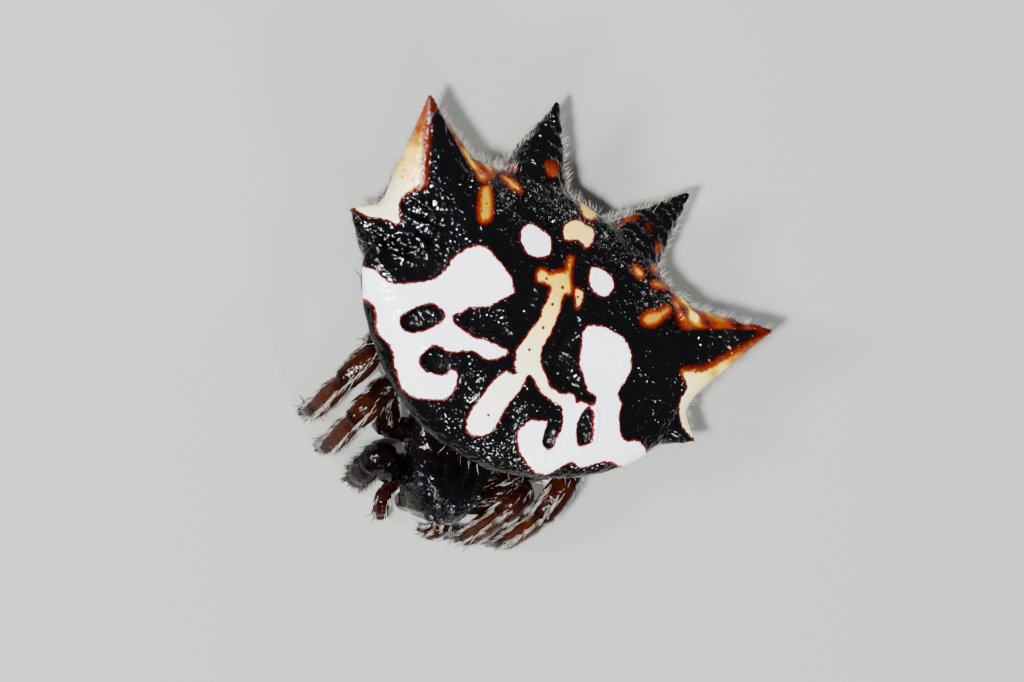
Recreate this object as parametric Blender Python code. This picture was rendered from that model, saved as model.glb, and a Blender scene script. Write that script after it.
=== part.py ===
"""A spiny orb weaver spider (female, six-spined kind), life size, still, standing on folded legs.

Metres, +Z up. The spider looks along -Y, its left side is +X, and the floor is z = 0.
Sizes below are in millimetres and are scaled once, when a mesh is made. They are measured from
a point under the shield, and the whole is then moved ORIGIN_Y back, which puts the origin under
the middle of its box.
"""

import math

import bmesh
import bpy
import numpy as np
from mathutils import Matrix, Vector

MM = 0.001
ORIGIN_Y = 0.26
GAP = 0.25
WELD = 0.00001

# Abdomen: a wide hard shield, its rim given on the left half from the front to the rear.
RIM_LEFT_HALF = (
    (0.00, -3.30, 3.32),
    (1.05, -3.19, 3.32),
    (2.12, -2.76, 3.34),
    (3.22, -2.02, 3.36),
    (4.05, -1.05, 3.36),
    (4.36, -0.05, 3.30),
    (4.36, 1.05, 3.42),
    (4.12, 2.05, 3.54),
    (3.20, 2.50, 3.42),
    (2.40, 2.70, 3.22),
    (1.50, 3.10, 3.06),
    (0.00, 3.12, 3.06),
)
RIM_STEPS = 84
DISC_CENTRE = (0.0, -0.10)
DOME_HEIGHT = 0.86
DOME_RINGS = 13
WALL_PROFILE = ((0.28, 0.06), (0.60, 0.05), (1.00, -0.12))
LIP_DROP_FRONT = 0.52
LIP_DROP_REAR = 1.25
VENTER_APEX = (0.0, 1.05, 0.95)
VENTER_APEX_RADIUS = 0.46
VENTER_RINGS = 8
VENTER_POWER_REAR = 1.25
VENTER_POWER_FRONT = 3.4

# Round pits of the shield, where muscles hold it from inside: x, y, half width, half length, turn.
PITS = (
    (2.95, -1.45, 0.26, 0.46, 20.0),
    (2.30, -2.00, 0.24, 0.24, 0.0),
    (1.62, -0.55, 0.34, 0.52, 65.0),
    (0.95, -2.35, 0.20, 0.32, 0.0),
    (3.70, 0.05, 0.24, 0.34, 0.0),
    (3.45, 1.45, 0.26, 0.34, -30.0),
    (0.62, 1.30, 0.22, 0.22, 0.0),
    (1.95, 1.95, 0.24, 0.24, 0.0),
)
PIT_DEPTH = 0.13

# Spines of the abdomen on the left side: root, tip, half width and half height at the root,
# and the power that hollows the flank.
SPINES = {
    "side": ((3.85, 0.03, 3.08), (5.00, 0.00, 3.30), 0.98, 0.62, 1.12),
    "corner": ((3.36, 1.34, 3.10), (4.95, 2.98, 3.90), 1.36, 0.86, 1.06),
    "rear": ((1.28, 2.46, 2.62), (1.93, 4.73, 2.80), 1.12, 0.92, 1.06),
}
SPINE_RINGS = 7
SPINE_SIDES = 16
SPINE_TIP_RADIUS = 0.045

# Front body: it turns a little towards the spider's left on the stalk, and is carried over to that side.
TURN_PIVOT = (0.0, -1.30)
TURN_DEGREES = 11.0
FRONT_SHIFT = 0.20
CARAPACE_FLOOR = 1.75
CARAPACE_STATIONS = (
    (-1.32, 0.40, 2.02),
    (-1.70, 0.92, 2.22),
    (-2.20, 1.18, 2.35),
    (-2.75, 1.21, 2.42),
    (-3.25, 1.12, 2.52),
    (-3.65, 0.98, 2.72),
    (-4.00, 0.90, 2.86),
    (-4.35, 0.80, 2.84),
    (-4.62, 0.68, 2.68),
    (-4.84, 0.50, 2.38),
)
CARAPACE_RINGS = 20
CARAPACE_SIDES = 24
CARAPACE_POWER = 2.9
EYES = (
    (0.12, -4.72, 0.085),
    (0.16, -4.44, 0.085),
    (0.66, -4.06, 0.080),
    (0.70, -3.88, 0.080),
)
STERNUM_CENTRE_Y = -2.60
STERNUM_HALF = (0.70, 1.20)
STERNUM_FLOOR = 0.94
STERNUM_THICK = 0.56
LABIUM = (0.20, -4.00, 0.22)

# Chelicerae and palps, from root to tip: x, y, z and radius.
CHELICERA = (
    (0.26, -4.46, 1.54, 0.20),
    (0.28, -4.52, 1.36, 0.24),
    (0.28, -4.56, 1.02, 0.24),
    (0.25, -4.56, 0.76, 0.20),
    (0.17, -4.50, 0.56, 0.10),
)
PALP = (
    (0.64, -4.30, 0.72, 0.18),
    (0.80, -4.54, 0.88, 0.22),
    (0.80, -4.82, 0.98, 0.22),
    (0.68, -5.00, 0.80, 0.22),
    (0.58, -5.06, 0.56, 0.20),
    (0.52, -5.03, 0.38, 0.12),
)

# Legs: where each coxa leaves the sternum, counted from the front, in degrees round it.
COXA_RING = (0.96, 1.46)
COXA_ANGLES = {"leg_1": 38.0, "leg_2": 72.0, "leg_3": 106.0, "leg_4": 142.0}
COXA_HEIGHT = 1.24
COXA_LENGTH = 0.56
SEGMENT_RADII = (0.30, 0.37, 0.35, 0.34, 0.28, 0.25)
FOOT_RADIUS = 0.17
SEGMENT_NEAR = 0.86
SEGMENT_SWELL = 1.03
SEGMENT_FAR = 0.95
SEGMENT_CAP_ANGLES = (32.0, 66.0)
SEGMENT_SIDES = 14
FOOT_OVERRUN = 0.12
LIMB_SIDE_RESOLUTION = 3

# The pose, as the shield's own frame sees it: knee, end of patella, of tibia, of metatarsus, and foot.
POSE = {
    "leg_1_right": (
        (-0.80, -4.03, 1.76), (-0.86, -4.37, 1.58), (-0.70, -4.64, 0.92),
        (-0.57, -4.68, 0.42), (-0.51, -4.68),
    ),
    "leg_1_left": (
        (2.45, -3.02, 2.08), (2.38, -3.26, 2.34), (2.30, -3.72, 2.14), (2.24, -4.48, 1.20), (2.12, -4.52),
    ),
    "leg_2_right": (
        (-1.70, -2.84, 2.08), (-1.84, -3.14, 2.38), (-1.96, -3.80, 2.18),
        (-1.80, -4.48, 1.20), (-1.56, -4.46),
    ),
    "leg_2_left": (
        (3.06, -1.88, 1.94), (3.24, -2.20, 2.24), (3.17, -3.26, 2.12), (3.08, -4.08, 1.20), (3.04, -4.14),
    ),
    "leg_3_right": (
        (-2.34, -1.84, 2.00), (-2.44, -2.26, 2.34), (-2.64, -3.18, 2.18),
        (-2.56, -3.98, 1.20), (-2.30, -4.00),
    ),
    "leg_3_left": (
        (2.96, -0.98, 1.84), (3.28, -1.02, 1.68), (3.66, -1.56, 0.96), (3.72, -1.84, 0.42), (3.72, -1.94),
    ),
    "leg_4_right": (
        (-3.02, -1.04, 1.84), (-3.22, -0.54, 1.76), (-3.16, 0.86, 1.12), (-2.92, 1.76, 0.44), (-2.80, 1.98),
    ),
    "leg_4_left": (
        (2.76, -0.06, 1.80), (2.96, 0.34, 1.72), (3.04, 1.40, 1.10), (2.88, 2.06, 0.44), (2.80, 2.24),
    ),
}
SIDES = {"left": 1.0, "right": -1.0}

# Stalk between the two halves of the body, and the spinnerets under the abdomen.
PEDICEL = ((-0.02, -1.06, 1.94, 0.26), (-0.10, -0.92, 2.00, 0.27), (-0.18, -0.80, 2.06, 0.25))
SPINNERET_COLLAR = (0.42, 0.28)
SPINNERET_COUNT = 6
SPINNERET_RING = 0.24
SPINNERET_RADIUS = 0.13
SPINNERET_LENGTH = 0.30

COLOURS = {
    "shell": ((0.012, 0.011, 0.014), 0.22),
    "leg": ((0.070, 0.018, 0.008), 0.45),
    "skin": ((0.030, 0.014, 0.010), 0.55),
}


def clear_scene():
    """Remove every object of the scene that the script starts in."""
    for thing in list(bpy.data.objects):
        bpy.data.objects.remove(thing, do_unlink=True)


def new_collection(name, hidden=False):
    """Link a collection, hidden from renders when it holds pieces that are only joined to others."""
    collection = bpy.data.collections.new(name)
    bpy.context.scene.collection.children.link(collection)
    collection.hide_render = hidden
    return collection


def material(name):
    """A plain finish from the colour table."""
    colour, roughness = COLOURS[name]
    made = bpy.data.materials.new(name)
    made.use_nodes = True
    shader = made.node_tree.nodes["Principled BSDF"]
    shader.inputs["Base Color"].default_value = (*colour, 1.0)
    shader.inputs["Roughness"].default_value = roughness
    shader.inputs["Metallic"].default_value = 0.0
    return made


def object_of(name, bm, collection, finish, turned=False):
    """Make an object in metres from a bmesh in millimetres, with its faces pointing out."""
    bmesh.ops.remove_doubles(bm, verts=bm.verts, dist=WELD / MM)
    bmesh.ops.recalc_face_normals(bm, faces=bm.faces)
    mesh = bpy.data.meshes.new(name)
    bm.to_mesh(mesh)
    bm.free()
    if turned:
        mesh.transform(turn_of_front_body())
    mesh.transform(Matrix.Scale(MM, 4) @ Matrix.Translation((0.0, ORIGIN_Y, 0.0)))
    mesh.materials.append(finish)
    mesh.shade_smooth()
    made = bpy.data.objects.new(name, mesh)
    collection.objects.link(made)
    return made


def turn_of_front_body():
    """The turn about an upright line through the stalk, and the shift, that the front body makes."""
    pivot = Vector((*TURN_PIVOT, 0.0))
    shift = Vector((FRONT_SHIFT, 0.0, 0.0))
    turn = Matrix.Rotation(math.radians(TURN_DEGREES), 4, "Z")
    return Matrix.Translation(pivot + shift) @ turn @ Matrix.Translation(-pivot)


def smooth_path(points, steps, closed=False):
    """Read steps points from a Catmull-Rom curve through the given points, evenly by parameter."""
    given = np.array(points, float)
    count = len(given)
    if closed:
        spans = count
        before = given[(np.arange(spans) - 1) % count]
        after = given[(np.arange(spans) + 2) % count]
        start = given
        end = given[(np.arange(spans) + 1) % count]
        at = np.arange(steps) * spans / steps
    else:
        spans = count - 1
        start = given[:-1]
        end = given[1:]
        before = np.vstack([2 * given[0] - given[1], given[:-2]])
        after = np.vstack([given[2:], 2 * given[-1] - given[-2]])
        at = np.linspace(0.0, spans, steps)
    span = np.minimum(at.astype(int), spans - 1)
    t = (at - span)[:, None]
    a, b, c, d = before[span], start[span], end[span], after[span]
    return 0.5 * (
        2 * b + (c - a) * t + (2 * a - 5 * b + 4 * c - d) * t**2 + (3 * b - a - 3 * c + d) * t**3
    )


def loft(rings, start_cap=True, end_cap=True):
    """Join rings of equal count with quads; a cap is a fan round the ring's own middle point."""
    bm = bmesh.new()
    rows = [[bm.verts.new(point) for point in ring] for ring in rings]
    for lower, upper in zip(rows, rows[1:]):
        for i in range(len(lower)):
            j = (i + 1) % len(lower)
            bm.faces.new((lower[i], lower[j], upper[j], upper[i]))
    for row, wanted in ((rows[0], start_cap), (rows[-1], end_cap)):
        if wanted:
            middle = sum((v.co for v in row), Vector()) / len(row)
            hub = bm.verts.new(middle)
            for i in range(len(row)):
                bm.faces.new((row[i], row[(i + 1) % len(row)], hub))
    return bm


def rim_points():
    """The whole rim as a closed smooth curve: the left half, then its mirror image."""
    left = list(RIM_LEFT_HALF)
    right = [(-x, y, z) for x, y, z in reversed(left[1:-1])]
    return smooth_path(left + right, RIM_STEPS, closed=True)


def pit_relief(x, y):
    """How far the shield is dished at a place: the sum of round dips, mirrored on both sides."""
    depth = np.zeros_like(x)
    for px, py, half_width, half_length, turn in PITS:
        for side in SIDES.values():
            angle = math.radians(turn) * side
            dx = x - side * px
            dy = y - py
            across = (dx * math.cos(angle) + dy * math.sin(angle)) / half_width
            along = (dy * math.cos(angle) - dx * math.sin(angle)) / half_length
            depth = np.maximum(depth, np.exp(-(across**2 + along**2)))
    return PIT_DEPTH * depth


def abdomen_rings():
    """Rings from the middle of the shield out to the rim, down the wall and in to the spinnerets."""
    rim = rim_points()
    centre = np.array(DISC_CENTRE)
    out = rim[:, :2] - centre
    direction = out / np.linalg.norm(out, axis=1)[:, None]
    frontness = np.clip(0.5 - 0.5 * rim[:, 1] / 1.6, 0.0, 1.0)
    frontness = frontness**2 * (3 - 2 * frontness)
    rings = []
    for k in range(1, DOME_RINGS + 1):
        angle = 0.5 * math.pi * (1 - k / DOME_RINGS)
        share = math.cos(angle)
        place = centre + out * share
        height = rim[:, 2] + DOME_HEIGHT * math.sin(angle)
        fade = min(1.0, 3.0 * math.sin(angle))
        height = height - fade * pit_relief(place[:, 0], place[:, 1])
        if k < DOME_RINGS:
            middle = rim[:, 2].mean() + DOME_HEIGHT * math.sin(angle)
            height = middle + (height - middle) * share**1.5
        rings.append(np.column_stack([place, height]))
    drop = LIP_DROP_REAR + (LIP_DROP_FRONT - LIP_DROP_REAR) * frontness
    for share, out_by in WALL_PROFILE:
        place = rim[:, :2] + direction * out_by
        rings.append(np.column_stack([place, rim[:, 2] - share * drop]))
    lip = rings[-1]
    apex = np.array(VENTER_APEX)
    root = apex[:2] + direction * VENTER_APEX_RADIUS
    power = VENTER_POWER_REAR + (VENTER_POWER_FRONT - VENTER_POWER_REAR) * frontness
    for k in range(1, VENTER_RINGS + 1):
        share = k / VENTER_RINGS
        place = lip[:, :2] + (root - lip[:, :2]) * share
        height = lip[:, 2] + (apex[2] - lip[:, 2]) * share**power
        rings.append(np.column_stack([place, height]))
    return rings


def spine_rings(root, tip, half_width, half_height, hollow):
    """Oval rings of a tapering spine from its sunk root to its tip, its flank a power curve."""
    start = Vector(root)
    axis = Vector(tip) - start
    level = axis.cross(Vector((0.0, 0.0, 1.0))).normalized()
    upright = level.cross(axis).normalized()
    rings = []
    for k in range(SPINE_RINGS + 1):
        share = k / SPINE_RINGS
        taper = (1 - share) ** hollow
        wide = SPINE_TIP_RADIUS + (half_width - SPINE_TIP_RADIUS) * taper
        high = SPINE_TIP_RADIUS + (half_height - SPINE_TIP_RADIUS) * taper
        ring = []
        for i in range(SPINE_SIDES):
            angle = 2 * math.pi * i / SPINE_SIDES
            across = level * wide * math.cos(angle)
            ring.append(start + axis * share + across + upright * high * math.sin(angle))
        rings.append(ring)
    return rings


def largest_surface(mesh):
    """Keep the closed surface of a mesh that holds the most faces and delete the others."""
    bm = bmesh.new()
    bm.from_mesh(mesh)
    left = set(bm.faces)
    shells = []
    while left:
        seed = left.pop()
        shell = {seed}
        edge_of_search = [seed]
        while edge_of_search:
            face = edge_of_search.pop()
            for edge in face.edges:
                for other in edge.link_faces:
                    if other not in shell:
                        shell.add(other)
                        edge_of_search.append(other)
        left -= shell
        shells.append(shell)
    shells.sort(key=len)
    scrap = [face for shell in shells[:-1] for face in shell]
    bmesh.ops.delete(bm, geom=scrap, context="FACES")
    bm.to_mesh(mesh)
    bm.free()


def join(base, pieces, solver="EXACT"):
    """Fuse the pieces of a collection to the base object with one Boolean union."""
    modifier = base.modifiers.new("join", "BOOLEAN")
    modifier.operation = "UNION"
    modifier.solver = solver
    modifier.operand_type = "COLLECTION"
    modifier.collection = pieces
    graph = bpy.context.evaluated_depsgraph_get()
    joined = bpy.data.meshes.new_from_object(base.evaluated_get(graph), depsgraph=graph)
    base.modifiers.clear()
    finish = base.data.materials[0]
    base.data = joined
    joined.materials.clear()
    joined.materials.append(finish)
    for piece in list(pieces.objects):
        bpy.data.objects.remove(piece, do_unlink=True)
    bpy.data.collections.remove(pieces)
    largest_surface(joined)
    joined.shade_smooth()
    joined.set_sharp_from_angle(angle=math.radians(40))
    return base


def tube(name, stations, collection, finish):
    """A round limb through stations of x, y, z and radius, closed at both ends."""
    curve = bpy.data.curves.new(name, "CURVE")
    curve.dimensions = "3D"
    curve.bevel_depth = 1.0
    curve.bevel_resolution = LIMB_SIDE_RESOLUTION
    curve.use_fill_caps = True
    spline = curve.splines.new("POLY")
    spline.points.add(len(stations) - 1)
    for point, (x, y, z, radius) in zip(spline.points, stations):
        point.co = (x, y, z, 1.0)
        point.radius = radius
    guide = bpy.data.objects.new(name + "_guide", curve)
    bpy.context.scene.collection.objects.link(guide)
    graph = bpy.context.evaluated_depsgraph_get()
    shape = bpy.data.meshes.new_from_object(guide.evaluated_get(graph), depsgraph=graph)
    bpy.data.objects.remove(guide, do_unlink=True)
    bpy.data.curves.remove(curve)
    bm = bmesh.new()
    bm.from_mesh(shape)
    bpy.data.meshes.remove(shape)
    bmesh.ops.remove_doubles(bm, verts=bm.verts, dist=WELD / MM)
    return object_of(name, bm, collection, finish, turned=True)


def cut_at_floor(bm):
    """Cut a limb off level at z = 0, which leaves it the small flat that it stands on."""
    everything = list(bm.verts) + list(bm.edges) + list(bm.faces)
    bmesh.ops.bisect_plane(
        bm, geom=everything, plane_co=(0, 0, 0), plane_no=(0, 0, -1), clear_outer=True
    )
    edges = [edge for edge in bm.edges if edge.is_boundary]
    bmesh.ops.contextual_create(bm, geom=edges)


def build_abdomen(collection, finish):
    """The shield, wall and venter as one loft, with the six spines fused in."""
    body = object_of("abdomen", loft(abdomen_rings()), collection, finish)
    spines = new_collection("spines", hidden=True)
    for label, (root, tip, half_width, half_height, hollow) in SPINES.items():
        for side_name, side in SIDES.items():
            here = (root[0] * side, root[1], root[2])
            there = (tip[0] * side, tip[1], tip[2])
            rings = spine_rings(here, there, half_width, half_height, hollow)
            object_of(f"spine_{label}_{side_name}", loft(rings), spines, finish)
    return join(body, spines)


def carapace_top(x, half_width, top):
    """Height of the carapace over a place x across a section of the given half width and top."""
    share = min(abs(x) / half_width, 1.0)
    return CARAPACE_FLOOR + (top - CARAPACE_FLOOR) * (1 - share**CARAPACE_POWER) ** (1 / CARAPACE_POWER)


def build_carapace(collection, finish):
    """The carapace as a loft of flat-bottomed arches, with the eight eyes fused in as domes."""
    sections = smooth_path(CARAPACE_STATIONS, CARAPACE_RINGS)
    angles = np.linspace(0.0, math.pi, CARAPACE_SIDES)
    rings = []
    for y, half_width, top in sections:
        across = np.sign(np.cos(angles)) * np.abs(np.cos(angles)) ** (2 / CARAPACE_POWER)
        up = np.abs(np.sin(angles)) ** (2 / CARAPACE_POWER)
        ring = np.column_stack([
            across * half_width,
            np.full(len(angles), y),
            CARAPACE_FLOOR + up * (top - CARAPACE_FLOOR),
        ])
        floor_share = np.linspace(-0.8, 0.8, 5)[:, None]
        floor = np.hstack([
            floor_share * half_width,
            np.full((5, 1), y),
            np.full((5, 1), CARAPACE_FLOOR),
        ])
        rings.append(np.vstack([ring, floor]))
    body = object_of("carapace", loft(rings), collection, finish, turned=True)
    eyes = new_collection("eyes", hidden=True)
    front_first = sections[::-1]
    for number, (x, y, radius) in enumerate(EYES):
        half_width = np.interp(y, front_first[:, 0], front_first[:, 1])
        top = np.interp(y, front_first[:, 0], front_first[:, 2])
        height = carapace_top(x, half_width, top)
        for side_name, side in SIDES.items():
            bm = bmesh.new()
            place = Matrix.Translation((side * x, y, height))
            bmesh.ops.create_uvsphere(bm, u_segments=10, v_segments=7, radius=radius, matrix=place)
            object_of(f"eye_{number}_{side_name}", bm, eyes, finish, turned=True)
    return join(body, eyes)


def build_sternum(collection, finish):
    """The plate under the front body, an oval with the lip in front."""
    bm = bmesh.new()
    middle = STERNUM_FLOOR + 0.5 * STERNUM_THICK
    shape = Matrix.Translation((0.0, STERNUM_CENTRE_Y, middle)) @ Matrix.Diagonal(
        (STERNUM_HALF[0], STERNUM_HALF[1], 1.0, 1.0)
    )
    bmesh.ops.create_cone(
        bm, cap_ends=True, segments=28, radius1=0.86, radius2=1.0, depth=STERNUM_THICK, matrix=shape
    )
    body = object_of("sternum", bm, collection, finish, turned=True)
    lips = new_collection("lips", hidden=True)
    half_width, front, half_thick = LABIUM
    bm = bmesh.new()
    length = STERNUM_CENTRE_Y - front
    place = Matrix.Translation((0.0, front + 0.5 * length, middle)) @ Matrix.Diagonal(
        (2 * half_width, length, 2 * half_thick, 1.0)
    )
    bmesh.ops.create_cube(bm, size=1.0, matrix=place)
    object_of("lip", bm, lips, finish, turned=True)
    return join(body, lips)


def mirrored(stations, side):
    """Stations of a limb with x turned to the wanted side."""
    return [(side * x, y, z, radius) for x, y, z, radius in stations]


def leg_joints(pair, pose, side):
    """Joints of one leg: the coxa square to the turned sternum's edge, then the pose's joints in order."""
    angle = math.radians(COXA_ANGLES[pair])
    root = Vector((
        COXA_RING[0] * math.sin(angle),
        STERNUM_CENTRE_Y - COXA_RING[1] * math.cos(angle),
        COXA_HEIGHT,
    ))
    square = Vector((math.sin(angle) / COXA_RING[0], -math.cos(angle) / COXA_RING[1], 0.0)).normalized()
    out = Vector((side, 1.0, 1.0))
    turn = turn_of_front_body()
    coxa = [turn @ (point * out) for point in (root, root + square * COXA_LENGTH)]
    *bends, foot = pose
    toe = Vector((foot[0], foot[1], -FOOT_OVERRUN))
    return [*coxa, *map(Vector, bends), toe]


def segment_rings(start, end, near_radius, middle_radius, far_radius, near_cap=True):
    """Rings of one straight segment with rounded ends that reach past its joints into its neighbours."""
    axis = end - start
    length = axis.length
    axis.normalize()
    level = axis.cross(Vector((0.0, 0.0, 1.0)))
    if level.length < 0.05:
        level = Vector((1.0, 0.0, 0.0))
    level.normalize()
    upright = level.cross(axis)
    stations = [
        (0.0, near_radius),
        (0.34 * length, middle_radius),
        (0.70 * length, middle_radius),
        (length, far_radius),
    ]
    for angle in map(math.radians, SEGMENT_CAP_ANGLES):
        if near_cap:
            stations.insert(0, (-near_radius * math.sin(angle), near_radius * math.cos(angle)))
        stations.append((length + far_radius * math.sin(angle), far_radius * math.cos(angle)))
    rings = []
    for place, radius in stations:
        middle = start + axis * place
        rings.append([
            middle + radius * (level * math.cos(turn) + upright * math.sin(turn))
            for turn in (2 * math.pi * i / SEGMENT_SIDES for i in range(SEGMENT_SIDES))
        ])
    return rings


def build_leg(name, joints, collection, finish):
    """One leg: each segment a closed solid, all fused, then cut off level at the floor."""
    segments = new_collection(name + "_segments", hidden=True)
    body = None
    for k, radius in enumerate(SEGMENT_RADII):
        far = FOOT_RADIUS if k + 1 == len(SEGMENT_RADII) else radius * SEGMENT_FAR
        near, middle = radius * SEGMENT_NEAR, radius * SEGMENT_SWELL
        rings = segment_rings(joints[k], joints[k + 1], near, middle, far, k > 0)
        place = collection if body is None else segments
        label = name if body is None else f"{name}_segment_{k}"
        made = object_of(label, loft(rings), place, finish)
        body = body or made
    join(body, segments)
    bm = bmesh.new()
    bm.from_mesh(body.data)
    cut_at_floor(bm)
    bm.to_mesh(body.data)
    bm.free()
    return body


def build_spinnerets(collection, finish):
    """A short collar under the abdomen with a ring of small cones fused to it."""
    x, y, z = VENTER_APEX
    top = z - GAP
    radius, depth = SPINNERET_COLLAR
    bm = bmesh.new()
    place = Matrix.Translation((x, y, top - 0.5 * depth))
    bmesh.ops.create_cone(
        bm, cap_ends=True, segments=20, radius1=0.8 * radius, radius2=radius, depth=depth, matrix=place
    )
    body = object_of("spinnerets", bm, collection, finish)
    cones = new_collection("cones", hidden=True)
    for k in range(SPINNERET_COUNT):
        angle = 2 * math.pi * (k + 0.5) / SPINNERET_COUNT
        bm = bmesh.new()
        start = top - depth + 0.08
        place = Matrix.Translation((
            x + SPINNERET_RING * math.cos(angle),
            y + SPINNERET_RING * math.sin(angle),
            start - 0.5 * SPINNERET_LENGTH,
        ))
        bmesh.ops.create_cone(
            bm, cap_ends=True, segments=8, radius1=0.35 * SPINNERET_RADIUS, radius2=SPINNERET_RADIUS,
            depth=SPINNERET_LENGTH, matrix=place,
        )
        object_of(f"cone_{k}", bm, cones, finish)
    return join(body, cones)


def main():
    """Build the whole spider in one collection."""
    clear_scene()
    spider = new_collection("spiny_orb_weaver")
    shell, leg, skin = material("shell"), material("leg"), material("skin")
    build_abdomen(spider, shell)
    build_carapace(spider, shell)
    build_sternum(spider, skin)
    tube("pedicel", PEDICEL, spider, skin)
    build_spinnerets(spider, skin)
    for side_name, side in SIDES.items():
        tube(f"chelicera_{side_name}", mirrored(CHELICERA, side), spider, skin)
        tube(f"palp_{side_name}", mirrored(PALP, side), spider, leg)
        for pair in COXA_ANGLES:
            name = f"{pair}_{side_name}"
            build_leg(name, leg_joints(pair, POSE[name], side), spider, leg)


main()
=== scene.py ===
"""A spiny orb weaver at life size: skins, eyes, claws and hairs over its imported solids."""
import logging
import math
from collections.abc import Iterator, Sequence
from dataclasses import dataclass, field
from enum import Enum

import bpy
import numpy as np
from mathutils import Matrix, Vector


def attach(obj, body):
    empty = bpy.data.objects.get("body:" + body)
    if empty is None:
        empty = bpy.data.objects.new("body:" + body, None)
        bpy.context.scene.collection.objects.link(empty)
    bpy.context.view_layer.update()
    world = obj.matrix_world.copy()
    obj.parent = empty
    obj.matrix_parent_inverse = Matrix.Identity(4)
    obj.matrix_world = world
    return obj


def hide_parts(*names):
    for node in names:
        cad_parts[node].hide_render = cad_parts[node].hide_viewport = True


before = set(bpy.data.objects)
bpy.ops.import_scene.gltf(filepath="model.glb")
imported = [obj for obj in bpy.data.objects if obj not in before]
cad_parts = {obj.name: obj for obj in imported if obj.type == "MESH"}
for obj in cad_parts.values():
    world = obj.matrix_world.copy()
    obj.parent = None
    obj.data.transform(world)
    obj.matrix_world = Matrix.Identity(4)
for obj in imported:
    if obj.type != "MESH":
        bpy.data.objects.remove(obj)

LOG = logging.getLogger("spider")
MM = 0.001
BODY_SHIFT = np.array([0.0, 0.26, 0.0])
SIDES = {"left": 1.0, "right": -1.0}

Array = np.ndarray
Socket = bpy.types.NodeSocket
Pair = tuple[float, float]
Triple = tuple[float, float, float]
Station = tuple[float, float, float, float]


# Plain mathematics shared by the pieces.


def smoothstep(low: float, high: float, value: Array) -> Array:
    """Rise from 0 to 1 between two levels as 3t^2 - 2t^3.

    Args:
        low: level where the rise starts.
        high: level where it ends.
        value: places to read.

    Returns:
        The share risen at each place.
    """
    t = np.clip((value - low) / (high - low), 0.0, 1.0)
    return t * t * (3 - 2 * t)


def smooth_path(points: Array, steps: int, closed: bool = False) -> Array:
    """Read points evenly from a Catmull-Rom curve through the given ones.

    Each span is half of (2b + (c-a)t + (2a-5b+4c-d)t^2 + (3b-a-3c+d)t^3) for its four nearest
    points a, b, c, d.

    Args:
        points: given points, one a row.
        steps: how many to read.
        closed: whether the curve runs back to its start.

    Returns:
        The points read.
    """
    given = np.asarray(points, float)
    if closed:
        padded = np.vstack([given[-1:], given, given[:2]])
        at = np.arange(steps) * len(given) / steps
        last = len(given) - 1
    else:
        padded = np.vstack([2 * given[:1] - given[1:2], given, 2 * given[-1:] - given[-2:-1]])
        at = np.linspace(0.0, len(given) - 1, steps)
        last = len(given) - 2
    span = np.minimum(at.astype(int), last)
    t = (at - span)[:, None]
    a, b, c, d = padded[span], padded[span + 1], padded[span + 2], padded[span + 3]
    return 0.5 * (2 * b + (c - a) * t + (2 * a - 5 * b + 4 * c - d) * t**2 + (3 * b - a - 3 * c + d) * t**3)


def unit(vectors: Array) -> Array:
    """Vectors brought to length one."""
    return vectors / np.maximum(np.linalg.norm(vectors, axis=-1, keepdims=True), 1e-12)


def circle(count: int) -> Array:
    """Angles evenly round a full turn."""
    return np.linspace(0.0, 2 * math.pi, count, endpoint=False)


def flip(side: float) -> Array:
    """Factors that put a place given on the left on a side."""
    return np.array([side, 1.0, 1.0])


def ripple(points: Array, pitch: float, seed: int) -> Array:
    """A smooth seeded unevenness between about -1 and 1: the mean of six sine waves in random directions.

    Args:
        points: places, in millimetres.
        pitch: mean wave length, in millimetres.
        seed: seed of the directions and phases.

    Returns:
        The unevenness at each place.
    """
    rng = np.random.default_rng(seed)
    directions = unit(rng.normal(size=(6, 3))) * rng.uniform(0.7, 1.5, (6, 1)) * 2 * math.pi / pitch
    phases = rng.uniform(0, 2 * math.pi, 6)
    return np.sin(points @ directions.T + phases).mean(axis=1) * 1.6


# Meshes from whole arrays.


@dataclass
class Surface:
    """Vertices in millimetres and the faces over them, as arrays."""

    points: Array
    quads: Array
    triangles: Array

    def volume(self) -> float:
        """Signed volume of the closed surface, by the sum of tetrahedra to the origin."""
        split = np.vstack([self.quads[:, [0, 1, 2]], self.quads[:, [0, 2, 3]], self.triangles])
        a, b, c = (self.points[split[:, k]] for k in range(3))
        return float(np.einsum("ij,ij->i", a, np.cross(b, c)).sum() / 6)

    def outward(self) -> "Surface":
        """The same surface with its faces turned to point out."""
        if self.volume() >= 0:
            return self
        return Surface(self.points, self.quads[:, ::-1], self.triangles[:, ::-1])


def closed_tube(rings: Array) -> Surface:
    """Quads between rings that close on themselves, with a fan round a middle point at each end.

    Args:
        rings: places as (ring, around, 3).

    Returns:
        The closed surface, facing out.
    """
    count, around = rings.shape[:2]
    points = np.vstack([rings.reshape(-1, 3), rings[0].mean(axis=0)[None], rings[-1].mean(axis=0)[None]])
    i = np.arange(around)
    j = (i + 1) % around
    rows = np.arange(count - 1)[:, None] * around
    quads = np.stack([rows + i, rows + j, rows + around + j, rows + around + i], axis=-1).reshape(-1, 4)
    last = (count - 1) * around
    first_hub, last_hub = count * around, count * around + 1
    fans = [
        np.stack([j, i, np.full(around, first_hub)], axis=-1),
        np.stack([last + i, last + j, np.full(around, last_hub)], axis=-1),
    ]
    return Surface(points, quads, np.vstack(fans)).outward()


def together(parts: Sequence[Surface]) -> Surface:
    """Several surfaces as one list of vertices and faces."""
    starts = np.cumsum([0] + [len(part.points) for part in parts])
    return Surface(
        np.vstack([part.points for part in parts]),
        np.vstack([part.quads + start for part, start in zip(parts, starts)]),
        np.vstack([part.triangles + start for part, start in zip(parts, starts)]),
    )


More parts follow.
